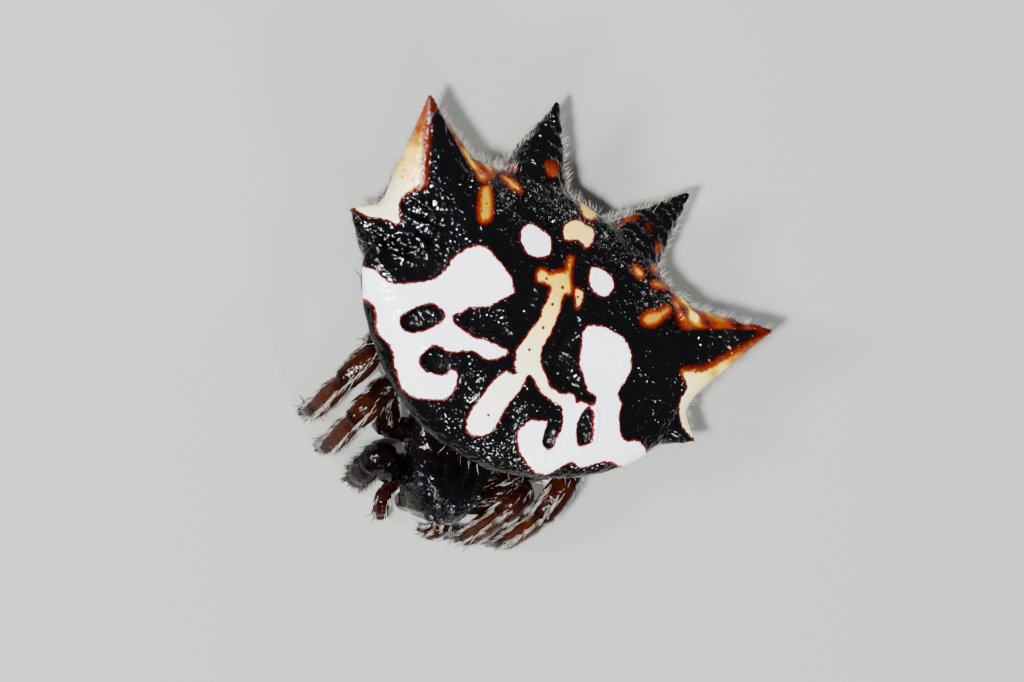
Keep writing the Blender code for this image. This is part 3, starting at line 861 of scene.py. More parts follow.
MARKS = (
    # The right side's mark: lobe, arm to the middle, hook in front, and the band out to the margin.
    Mark((
        (-430, -98), (-405, -93), (-388, -87), (-368, -93), (-349, -95), (-326, -85), (-307, -70),
        (-288, -55), (-272, -39), (-262, -16), (-258, 5), (-260, 26), (-253, 42), (-245, 60), (-234, 74),
        (-218, 85), (-203, 88), (-184, 84), (-161, 78), (-138, 70), (-118, 63), (-108, 51), (-95, 42),
        (-95, 32), (-105, 15), (-118, -8), (-134, -28), (-153, -41), (-167, -51), (-171, -66), (-185, -82),
        (-175, -94), (-153, -97), (-122, -96), (-95, -89), (-72, -83), (-49, -82), (-38, -78.5), (-31, -83),
        (-32, -93), (-45, -110), (-61, -124), (-80, -127), (-99, -126), (-118, -135), (-136, -150),
        (-153, -159), (-172, -160), (-188, -166), (-193, -182), (-197, -199), (-188, -212), (-172, -218),
        (-153, -214), (-136, -208), (-128, -200), (-127, -188), (-113, -181), (-101, -189), (-92, -205),
        (-87, -224), (-88, -239), (-99, -255), (-118, -266), (-142, -280), (-165, -283), (-184, -280),
        (-203, -268), (-218, -257), (-234, -243), (-249, -228), (-272, -214), (-295, -208), (-311, -199),
        (-320, -187), (-334, -170), (-349, -160), (-368, -158), (-397, -156), (-425, -150),
    )),
    Mark((
        (-249, -91), (-234, -87), (-215, -89), (-205, -97), (-207, -112), (-218, -135), (-234, -155),
        (-249, -166), (-265, -168), (-280, -158), (-284, -147), (-276, -128), (-265, -108),
    ), hole=True),
    # The left side's mark, the same in mirror image but for its narrower pits and the joined arm.
    Mark((
        (140, -86), (155, -80), (165, -82), (173, -88), (182, -81), (195, -77), (208, -76), (212, -68),
        (208, -58), (200, -55), (186, -58), (175, -53), (159, -39), (144, -28), (127, -16), (119, -1),
        (111, 17), (102, 32), (94, 45), (95, 61), (100, 73), (113, 80), (132, 88), (152, 92), (171, 93),
        (190, 92), (209, 86), (225, 74), (236, 61), (248, 45), (251, 26), (252, 3), (253, -17), (263, -26),
        (275, -31), (278, -41), (286, -58), (298, -74), (313, -89), (328, -95), (342, -92), (352, -83),
        (367, -78), (386, -80), (410, -86), (425, -92), (415, -110), (395, -135), (370, -150), (348, -154),
        (328, -160), (311, -172), (300, -186), (286, -202), (275, -208), (259, -205), (248, -210),
        (240, -224), (234, -239), (228, -253), (217, -264), (198, -270), (175, -270), (152, -264),
        (128, -255), (109, -241), (96, -228), (92, -212), (95, -197), (100, -182), (113, -174), (128, -166),
        (138, -161), (144, -168), (150, -185), (157, -201), (167, -210), (178, -213), (186, -205),
        (184, -193), (180, -182), (178, -162), (171, -145), (156, -128), (150, -120), (140, -119),
        (133, -105),
    )),
    Mark((
        (202, -90), (209, -85), (223, -89), (236, -105), (248, -120), (257, -137), (257, -149), (248, -160),
        (238, -164), (228, -160), (217, -147), (207, -132), (202, -112),
    ), hole=True),
    # The middle line with its cross piece, foot and the arm to the left side's mark.
    Mark((
        (-18, 180), (-11, 185), (-2, 182), (2, 165), (9, 145), (21, 130), (29, 116), (27, 105), (17, 97),
        (19, 80), (25, 57), (29, 30), (32, 3), (32, -16), (35, -39), (44, -55), (55, -66), (71, -76),
        (86, -85), (102, -95), (113, -93), (125, -94), (142, -87), (150, -105), (142, -119), (121, -121),
        (105, -121), (86, -118), (67, -112), (52, -103), (39, -101), (41, -124), (42, -147), (39, -174),
        (39, -201), (42, -224), (44, -239), (42, -255), (32, -270), (17, -280), (3, -283), (-8, -281),
        (-16, -272), (-23, -262), (-29, -243), (-30, -220), (-29, -197), (-28, -174), (-25, -151),
        (-20, -132), (-12, -120), (4, -117), (10, -112), (2, -107), (-6, -100), (-10, -88), (-19, -76),
        (-20, -62), (-18, -39), (-17, -16), (-14, 3), (-12, 22), (-18, 45), (-18, 68), (-22, 86), (-27, 94),
        (-41, 92), (-61, 86), (-68, 95), (-72, 107), (-67, 118), (-57, 124), (-42, 123), (-30, 134),
        (-20, 142), (-13, 149), (-18, 165),
    ), 0.40, fade=0.13),
    Mark((
        (32, 129), (40, 132), (53, 130), (60, 118), (62, 103), (62, 90), (55, 85), (46, 95), (38, 107),
        (32, 117),
    ), 0.5),
    # The two round spots and the rear ones.
    Mark((
        (-150, 176), (-142, 190), (-122, 197), (-95, 197), (-76, 193), (-65, 178), (-60, 161), (-67, 145),
        (-84, 134), (-107, 128), (-126, 134), (-140, 145), (-148, 161),
    )),
    Mark((
        (44, 192), (55, 198), (78, 201), (103, 197), (115, 184), (115, 165), (109, 149), (94, 142),
        (75, 142), (59, 149), (48, 165), (43, 178),
    )),
    Mark((
        (-60, 234), (-56, 245), (-37, 266), (-10, 270), (13, 270), (23, 253), (22, 232), (10, 216),
        (-2, 222), (-20, 220), (-34, 208), (-46, 207), (-54, 218),
    ), 0.45),
    Mark(((-37, 320), (-38, 295), (-20, 280), (2, 284), (17, 305), (14, 330), (-12, 340)), 0.52),
    # Yellow bars and patches in front of the corner and rear spines.
    Mark((
        (-280, 207), (-268, 216), (-254, 203), (-242, 184), (-232, 165), (-228, 145), (-236, 132),
        (-249, 127), (-261, 136), (-268, 149), (-276, 168), (-284, 188),
    ), 0.65),
    Mark((
        (248, 215), (262, 218), (265, 203), (257, 184), (250, 166), (236, 150), (218, 143), (204, 150),
        (206, 166), (218, 184), (236, 197),
    ), 0.65),
    Mark((
        (-322, 242), (-305, 255), (-282, 252), (-270, 238), (-274, 220), (-290, 210), (-310, 216),
    ), 0.52),
    Mark(((-278, 272), (-270, 290), (-242, 302), (-224, 286), (-246, 270)), 0.65),
    Mark(((-252, 256), (-220, 262), (-192, 256), (-184, 244), (-205, 236), (-238, 244)), 0.60),
    Mark(((136, 250), (150, 258), (170, 254), (174, 240), (160, 230), (144, 236)), 0.60),
    Mark(((196, 242), (210, 256), (234, 260), (240, 250), (224, 240), (206, 234)), 0.65),
    Mark(((180, 272), (195, 286), (212, 292), (214, 280), (200, 266)), 0.65),
    Mark(((272, 246), (292, 258), (320, 262), (342, 256), (330, 244), (300, 234)), 0.60),
    # Pale margins from the side spine back to the corner spine.
    Mark((
        (-530, 0), (-495, 0), (-460, 3), (-426, 18), (-400, 23), (-396, 34), (-408, 49), (-418, 65),
        (-418, 88), (-410, 103), (-400, 122), (-399, 136), (-412, 155), (-426, 179), (-439, 202),
        (-452, 224), (-475, 260), (-493, 293), (-530, 305), (-560, 260), (-580, 120),
    ), 0.30),
    Mark((
        (355, 108), (370, 120), (396, 136), (412, 155), (426, 179), (439, 202), (452, 224), (475, 260),
        (493, 293), (530, 305), (560, 260), (580, 120), (530, 0), (495, 0), (460, 4), (436, 17), (412, 36),
        (400, 58), (402, 75), (393, 87), (374, 95),
    ), 0.34),
)


@dataclass(frozen=True)
class Dimple:
    """A round pit in plan where a muscle holds the shield from inside."""

    x: float
    y: float
    half_width: float
    half_length: float
    turn: float = 0.0
    depth: float = 0.10

    def dip(self, places: Array) -> Array:
        """Depth below the shield, d (ribs exp(-r^6) - 0.35 exp(-((r - 1.25) / 0.2)^2)) in its oval.

        The ribs are 1 - 0.25 cos 7a away from the middle.

        Args:
            places: x and y, in millimetres.

        Returns:
            The depth at each place.
        """
        turn = math.radians(self.turn)
        dx, dy = places[:, 0] - self.x, places[:, 1] - self.y
        across = (dx * math.cos(turn) + dy * math.sin(turn)) / self.half_width
        along = (dy * math.cos(turn) - dx * math.sin(turn)) / self.half_length
        reach = np.hypot(across, along)
        ribs = 1 - 0.25 * np.cos(7 * np.arctan2(along, across)) * smoothstep(0.15, 0.6, reach)
        return self.depth * (np.exp(-(reach**6)) * ribs - 0.35 * np.exp(-(((reach - 1.25) / 0.2) ** 2)))


DIMPLES = (
    Dimple(-2.44, -1.27, 0.24, 0.42, -35.0, 0.13),
    Dimple(2.30, -1.25, 0.20, 0.40, 30.0, 0.13),
    Dimple(-1.62, -1.88, 0.28, 0.26, 0.0, 0.12),
    Dimple(1.64, -1.82, 0.14, 0.28, 15.0, 0.12),
    Dimple(-1.15, -0.52, 0.28, 0.48, -60.0, 0.09),
    Dimple(1.10, -0.50, 0.28, 0.46, 60.0, 0.09),
    Dimple(-3.80, 0.72, 0.34, 0.17, 0.0, 0.10),
    Dimple(3.76, 0.68, 0.34, 0.17, 0.0, 0.02),
    Dimple(-3.28, 0.70, 0.14, 0.12, 0.0, 0.06),
    Dimple(-3.12, 1.86, 0.14, 0.20, 25.0, 0.12),
    Dimple(2.90, 1.94, 0.16, 0.22, -25.0, 0.14),
    Dimple(-1.65, 2.38, 0.13, 0.17, 0.0, 0.09),
    Dimple(-0.92, 2.24, 0.15, 0.11, 0.0, 0.08),
    Dimple(0.62, 2.30, 0.13, 0.12, 0.0, 0.08),
    Dimple(1.15, 2.22, 0.13, 0.15, 0.0, 0.09),
    Dimple(-0.60, -1.98, 0.20, 0.42, 0.0, 0.07),
    Dimple(0.72, -2.10, 0.18, 0.42, 0.0, 0.07),
    Dimple(-3.55, -0.30, 0.42, 0.40, 0.0, 0.08),
    Dimple(3.45, -0.20, 0.42, 0.40, 0.0, 0.02),
    Dimple(0.72, 0.20, 0.16, 0.50, 0.0, 0.06),
    Dimple(-0.62, 0.25, 0.22, 0.50, 0.0, 0.06),
)


@dataclass
class Shield:
    """The abdomen: a domed plate with a rim, a wall, a folded underside and six spines, as one skin.

    Attributes:
        rim_left: the left half of the rim, from the front to the back.
        centre: middle of the dome in plan.
        dome_height: rise of the dome over the mean rim.
        wall: the wall's profile from the rim: share of the drop, and distance out.
        undercut: how far the front wall leans in.
        drop_front, drop_rear: height of the wall.
        apex, apex_radius: place and size of the spinnerets' base.
        under_powers: powers of the underside's rise, at the rear and in front.
        rings, wall_rings: rings of the dome and of the underside, and of the wall.
        around: vertices round the rim.
        voxel: size of the faces of the fused skin.
        fair_passes, root_passes: smoothing over all, and at the roots of the spines.
        fold_count, fold_height: folds of the wall and underside.
        mark_rise: height of the marks over the skin.
        low_ripple: height, pitch and seed of the unevenness over all.
        spine_ripples: the same for the spines.
        line: widths of the line round a mark: cool, added when warm, added at the margins.
        hair_counts: hairs at the edge, above and beneath.
        hair_seed: seed of their draw.
    """

    rim_left: tuple[Triple, ...] = (
        (0.00, -3.30, 3.32), (1.05, -3.19, 3.32), (2.12, -2.76, 3.34), (3.22, -2.02, 3.36),
        (4.05, -1.05, 3.36), (4.36, -0.05, 3.30), (4.36, 1.05, 3.42), (4.12, 2.05, 3.54),
        (3.20, 2.50, 3.42), (2.40, 2.70, 3.22), (1.50, 3.10, 3.06), (0.00, 3.12, 3.06),
    )
    centre: Pair = (0.0, -0.10)
    dome_height: float = 0.86
    wall: tuple[Pair, ...] = ((0.10, 0.035), (0.28, 0.06), (0.60, 0.05), (1.00, -0.12))
    undercut: float = 0.40
    drop_front: float = 0.52
    drop_rear: float = 1.25
    apex: Triple = (0.0, 1.05, 0.95)
    apex_radius: float = 0.46
    under_powers: Pair = (1.25, 3.4)
    rings: tuple[int, int] = (60, 30)
    wall_rings: int = 16
    around: int = 300
    voxel: float = 0.047
    fair_passes: int = 10
    root_passes: int = 26
    fold_count: int = 34
    fold_height: float = 0.035
    mark_rise: float = 0.018
    low_ripple: tuple[float, float, int] = (0.012, 0.55, 8)
    spine_ripples: tuple[tuple[float, float, int], ...] = ((0.024, 0.32, 9), (0.009, 0.17, 12))
    line: Triple = (0.045, 0.035, 0.09)
    hair_counts: tuple[int, int, int] = (2600, 500, 1300)
    hair_seed: int = 31
    outline: Array = field(init=False)

    def __post_init__(self) -> None:
        """Work out the whole rim from its left half."""
        left = np.array(self.rim_left)
        right = left[-2:0:-1] * flip(-1.0)
        self.outline = smooth_path(np.vstack([left, right]), self.around, closed=True)

    def plate(self) -> Surface:
        """Rings from the middle of the dome to the rim, down the wall and in under it.

        At a share f = cos a of the way out, the height is the rim's plus dome_height sin a, drawn towards the
        mean rim as f^1.5. Each wall ring drops a share of the wall, and each ring beneath runs in to the
        spinnerets while its height rises as a power of the share.

        Returns:
            The closed surface.
        """
        rim = self.outline
        centre = np.array(self.centre)
        out = rim[:, :2] - centre
        direction = unit(out)
        front = smoothstep(0.0, 1.0, 0.5 - 0.5 * rim[:, 1] / 1.6)
        dome_rings, under_rings = self.rings
        angle = 0.5 * math.pi * (1 - np.arange(1, dome_rings + 1) / dome_rings)[:, None]
        share = np.cos(angle)
        middle = rim[:, 2].mean() + self.dome_height * np.sin(angle)
        height = middle + (rim[None, :, 2] - rim[:, 2].mean()) * share**1.5
        dome = np.concatenate([centre + out[None] * share[..., None], height[..., None]], axis=-1)
        drop = self.drop_rear + (self.drop_front - self.drop_rear) * front
        profile = smooth_path(np.array([(0.0, 0.0), *self.wall]), self.wall_rings)[1:]
        out_by = profile[:, 1:] - self.undercut * front * smoothstep(0.0, 0.45, profile[:, :1])
        place = rim[None, :, :2] + direction[None] * out_by[..., None]
        wall = np.concatenate([place, (rim[None, :, 2] - profile[:, :1] * drop)[..., None]], axis=-1)
        lip = wall[-1]
        root = np.array(self.apex[:2]) + direction * self.apex_radius
        rear_power, front_power = self.under_powers
        power = rear_power + (front_power - rear_power) * front
        inward = (np.arange(1, under_rings + 1) / under_rings)[:, None]
        beneath_xy = lip[None, :, :2] + (root - lip[:, :2])[None] * inward[..., None]
        beneath_z = lip[None, :, 2] + (self.apex[2] - lip[:, 2])[None] * inward**power[None]
        beneath = np.concatenate([beneath_xy, beneath_z[..., None]], axis=-1)
        return closed_tube(np.concatenate([dome, wall, beneath]))

    def fused(self) -> Surface:
        """Plate and spines made one skin by a voxel remesh, in millimetres to keep the voxels large."""
        parts = [self.plate()] + [spine.surface(side) for spine, side in all_spines()]
        mesh = bpy.data.meshes.new("fusing")
        fill_mesh(mesh, together(parts), 1.0)
        rough = put("fusing", mesh)
        step = rough.modifiers.new("fuse", "REMESH")
        step.mode = "VOXEL"
        step.voxel_size = self.voxel
        graph = bpy.context.evaluated_depsgraph_get()
        made = bpy.data.meshes.new_from_object(rough.evaluated_get(graph), depsgraph=graph)
        points = np.empty(3 * len(made.vertices), np.float32)
        made.vertices.foreach_get("co", points)
        corners = np.empty(len(made.loops), np.int32)
        made.loops.foreach_get("vertex_index", corners)
        bpy.data.objects.remove(rough)
        bpy.data.meshes.remove(made)
        bpy.data.meshes.remove(mesh)
        surface = Surface(points.reshape(-1, 3).astype(float), corners.reshape(-1, 4), np.empty((0, 3), int))
        return surface.outward()

    def smoothed(self, surface: Surface) -> Surface:
        """Take the voxel steps off, and ease the skin where a spine leaves the plate.

        Each pass moves a vertex towards the mean of its neighbours; passes in and out alternate so that the
        form does not shrink, and only the roots of the spines get passes that are inwards alone.

        Args:
            surface: the fused skin.

        Returns:
            The smoothed skin.
        """
        quads, points = surface.quads, surface.points.copy()
        edges = np.vstack([quads[:, [k, (k + 1) % 4]] for k in range(4)])
        one, other = edges[:, 0], edges[:, 1]
        count = np.bincount(one, minlength=len(points)) + np.bincount(other, minlength=len(points))

        def toward_neighbours(places: Array) -> Array:
            """Step from each vertex to the mean of its neighbours."""
            size = len(places)
            total = np.stack([
                np.bincount(one, places[other, k], size) + np.bincount(other, places[one, k], size)
                for k in range(3)
            ], axis=1)
            return total / count[:, None] - places

        for _ in range(self.fair_passes):
            points += 0.55 * toward_neighbours(points)
            points -= 0.57 * toward_neighbours(points)
        root = np.zeros(len(points))
        for spine, side in all_spines():
            share, _, reach = spine.local(points, side)
            near = smoothstep(2.2, 1.3, reach) * smoothstep(-0.15, 0.12, share)
            near *= smoothstep(0.62, 0.36, share)
            root = np.maximum(root, near)
        for _ in range(self.root_passes):
            points += 0.5 * root[:, None] * toward_neighbours(points)
        return Surface(points, quads, surface.triangles)

    def normals(self, surface: Surface) -> Array:
        """Unit normal of each vertex, the mean of its faces by area."""
        a, b, c, d = (surface.points[surface.quads[:, k]] for k in range(4))
        face = np.cross(c - a, d - b)
        total = np.stack([
            sum(np.bincount(surface.quads[:, k], face[:, axis], len(surface.points)) for k in range(4))
            for axis in range(3)
        ], axis=1)
        return unit(total)

    def rim_height(self, points: Array) -> tuple[Array, Array]:
        """Height of the rim in the direction of each place, and the share of the way out to it."""
        out = self.outline[:, :2] - np.array(self.centre)
        angle = np.arctan2(out[:, 1], out[:, 0])
        order = np.argsort(angle)
        here = points[:, :2] - np.array(self.centre)
        at = np.arctan2(here[:, 1], here[:, 0])
        height = np.interp(at, angle[order], self.outline[order, 2], period=2 * math.pi)
        reach = np.interp(at, angle[order], np.hypot(out[:, 0], out[:, 1])[order], period=2 * math.pi)
        return height, np.hypot(here[:, 0], here[:, 1]) / reach

    def marked(self, points: Array) -> tuple[Array, Array, Array]:
        """Depth inside the marks, their warmth and their line's width: the deepest wins, and a hole cuts it.

        The warmth is the marks' mean, weighted by exp(30 depth), and grows towards the corner spines.

        Args:
            points: vertices, in millimetres.

        Returns:
            Depth in millimetres, warmth from 0 to 1, and width in millimetres.
        """
        far = Mark.reach
        x, y = np.abs(points[:, 0]), points[:, 1]
        depth = np.full(len(points), -far)
        warmth = np.zeros(len(points))
        weight = np.full(len(points), 1e-6)
        for mark in MARKS:
            here = mark.depth(points[:, :2])
            if mark.hole:
                depth = np.minimum(depth, -here)
                continue
            pull = np.exp(np.clip(here, -0.5, 0.1) * 30.0)
            warmth += pull * (mark.warmth + mark.fade * y)
            weight += pull
            depth = np.maximum(depth, here)
        rim, _ = self.rim_height(points)
        below = np.maximum(rim - 0.10 - points[:, 2], 0.0)
        warmth = np.maximum(warmth / weight, 0.0)
        cool, warm, broad = self.line
        line = cool + warm * smoothstep(0.44, 0.60, warmth)
        margin = smoothstep(3.4, 3.8, x)
        warmth += margin * (0.16 * smoothstep(0.9, 1.4, y) + 0.36 * smoothstep(1.7, 2.4, y))
        warmth += 0.12 * margin * smoothstep(1.0, 1.6, y) * ripple(points, 0.5, 17)
        warmth += 0.35 * margin * smoothstep(2.50, 2.90, y)
        line = np.maximum(line, cool + broad * margin * smoothstep(0.8, 1.4, y))
        drop = below * (1.6 - 1.3 * smoothstep(1.8, 2.6, y)) + 4.0 * np.maximum(below - 0.7, 0.0)
        return np.clip(depth - drop, -far, far), warmth, line

    def glow(self, points: Array) -> Array:
        """Heat of the spines' colour: pale and orange outer edges, orange rear edges, dark red tips.

        Args:
            points: vertices, in millimetres.

        Returns:
            Heat from 0, black, to 1, cream.
        """
        heat = np.zeros(len(points))
        for name, side in ((name, side) for side in SIDES.values() for name in ("corner", "side", "rear")):
            share, across, reach = SPINES[name].local(points, side)
            near = (share < 1.1) * (reach < 1.6)
            if name == "corner":
                width = 0.62 if side < 0 else 0.40
                edge = smoothstep(width, width + 0.22, across) * (0.92 - 0.42 * smoothstep(0.25, 0.9, share))
                patch = 0.5 + 0.5 * ripple(points, 0.42, 5)
                edge *= 0.38 + 0.78 * patch
                tip = 0.34 * smoothstep(0.80, 0.90, share) * smoothstep(1.0, 0.95, share)
                edge *= smoothstep(1.0, 0.93, share)
                here = smoothstep(0.10, 0.22, share) * near * np.maximum(edge, tip)
                here *= smoothstep(-0.36, -0.20, across)
            elif name == "side":
                here = smoothstep(0.25, 0.45, share) * near * 0.42 * smoothstep(0.82, 0.95, share)
            else:
                dab = smoothstep(0.25, 0.65, ripple(points, 0.8, 11)) * smoothstep(0.60, 0.30, share)
                here = smoothstep(0.12, 0.30, share) * near * 0.55 * dab
            heat = np.maximum(heat, here)
        return heat

    def relief(self, surface: Surface) -> Surface:
        """Move the skin along its normals for pits, raised marks, folds and a low unevenness."""
        points = surface.points
        normal = self.normals(surface)
        rim, share = self.rim_height(points)
        top = smoothstep(0.15, 0.5, normal[:, 2]) * smoothstep(1.06, 0.98, share)
        dip = np.zeros(len(points))
        for dimple in DIMPLES:
            dip += dimple.dip(points[:, :2])
        depth = self.marked(points)[0]
        raised = self.mark_rise * smoothstep(-0.03, 0.08, depth)
        below = smoothstep(0.10, 0.45, rim - points[:, 2])
        angle = np.arctan2(points[:, 1] - self.centre[1], points[:, 0] - self.centre[0])
        wave = np.sin(self.fold_count * angle + 1.4 * ripple(points, 2.2, 3))
        folds = self.fold_height * below * wave * (0.6 + 0.4 * ripple(points, 0.9, 4))
        height, pitch, seed = self.low_ripple
        uneven = height * ripple(points, pitch, seed)
        rough = sum(height * ripple(points, pitch, seed) for height, pitch, seed in self.spine_ripples)
        for spine, side in all_spines():
            at, _, reach = spine.local(points, side)
            on = smoothstep(0.10, 0.30, at) * smoothstep(1.0, 0.85, at) * smoothstep(1.5, 1.1, reach)
            uneven += on * rough
        uneven *= smoothstep(0.04, -0.08, depth)
        moved = points + normal * (-top * dip + raised * top + folds + uneven)[:, None]
        return Surface(moved, surface.quads, surface.triangles)

    def build(self) -> None:
        """Make the skin and its hairs."""
        surface = self.relief(self.smoothed(self.fused()))
        depth, warmth, line = self.marked(surface.points)
        tints = {"mark": depth, "warm": warmth, "line": line, "glow": self.glow(surface.points)}
        self.grow_hairs(surface)
        piece_of("shield_skin", surface, ShieldFinish().make(), ["abdomen"], tints)

    def grow_hairs(self, surface: Surface) -> None:
        """Pale bristles round the margin and along the spines, and short sparse ones above and beneath."""
        rng = np.random.default_rng(self.hair_seed)
        points, normal = surface.points, self.normals(surface)
        rim, share = self.rim_height(points)
        out = np.column_stack([unit(points[:, :2] - np.array(self.centre)), np.zeros(len(points))])
        lies, on_spine = out.copy(), np.zeros(len(points))
        for spine, side in all_spines():
            at, _, reach = spine.local(points, side)
            here = (at > 0.10) & (reach < 1.7)
            lies[here] = spine.frame(side)[1]
            on_spine[here] = smoothstep(0.10, 0.25, at[here]) * smoothstep(1.0, 0.9, at[here])
        # The unwrap is two plans side by side, the upper faces on the left and the lower on the right.
        across = (points[:, 0] + 5.2) / 10.4 * 0.48 + 0.5 * (normal[:, 2] < 0)
        plan = np.column_stack([across, (points[:, 1] + 3.8) / 9.2])
        level = smoothstep(0.62, 0.25, np.abs(normal[:, 2]))
        high = smoothstep(-0.75, -0.25, points[:, 2] - rim)
        rear = 0.05 + 0.95 * smoothstep(-0.9, 0.2, points[:, 1])
        edge = level * rear * np.maximum(0.6 * high * (share > 0.9), on_spine)
        top = smoothstep(0.5, 0.8, normal[:, 2])
        under = smoothstep(0.0, -0.4, normal[:, 2]) + 0.6 * level * (1 - high)
        hairs = Hairs()
        kinds = ((MARGIN, edge), (SHIELD_DOWN, top), (BELLY, under))
        for (kind, weight), count in zip(kinds, self.hair_counts):
            hairs.grow(roots_on(points, normal, lies, plan, weight, count, rng), kind, rng)
        hairs.build("shield_hairs", "shell")


# The front body: head plate, eyes, jaws, breast plate and stalk.

PLATE_Y = -2.60
FRONT_MIDDLE = np.array([0.2, PLATE_Y, 0.0])


@dataclass(frozen=True)
class FrontTurn:
    """The front body's turn about an upright line through the stalk, and its shift, in this pose."""

    pivot: Pair = (0.0, -1.30)
    degrees: float = 11.0
    shift: float = 0.20

    def apply(self, points: Array) -> Array:
        """Turn and shift places given in the front body's own frame.

        Args:
            points: places in millimetres, any shape ending in 3.

        Returns:
            The places in the shield's frame.
        """
        angle = math.radians(self.degrees)
        x, y = points[..., 0] - self.pivot[0], points[..., 1] - self.pivot[1]
        return np.stack([
            x * math.cos(angle) - y * math.sin(angle) + self.pivot[0] + self.shift,
            x * math.sin(angle) + y * math.cos(angle) + self.pivot[1],
            points[..., 2],
        ], axis=-1)


TURN = FrontTurn()


def tube_surface(stations: Array, steps: int, around: int, flatten: float = 1.0) -> Surface:
    """A round limb along a smooth path, each ring square to it and turned on from the last ring.

    Args:
        stations: x, y, z and radius, one a row.
        steps: rings along it.
        around: vertices round it.
        flatten: factor on the size upright to the path's own level.

    Returns:
        The closed surface, its vertices in order of rings.
    """
    path = smooth_path(stations, steps)
    centres, radii = path[:, :3], path[:, 3]
    tangent = unit(np.gradient(centres, axis=0))
    level = np.empty_like(tangent)
    start = np.cross(tangent[0], [0.0, 0.0, 1.0])
    level[0] = start / np.linalg.norm(start) if np.linalg.norm(start) > 1e-6 else np.array([1.0, 0.0, 0.0])
    for k in range(1, len(tangent)):
        level[k] = unit(level[k - 1] - tangent[k] * (level[k - 1] @ tangent[k]))
    upright = np.cross(tangent, level)
    angle = circle(around)[None, :, None]
    ring = level[:, None, :] * np.cos(angle) + upright[:, None, :] * np.sin(angle) * flatten
    return closed_tube(centres[:, None, :] + ring * radii[:, None, None])


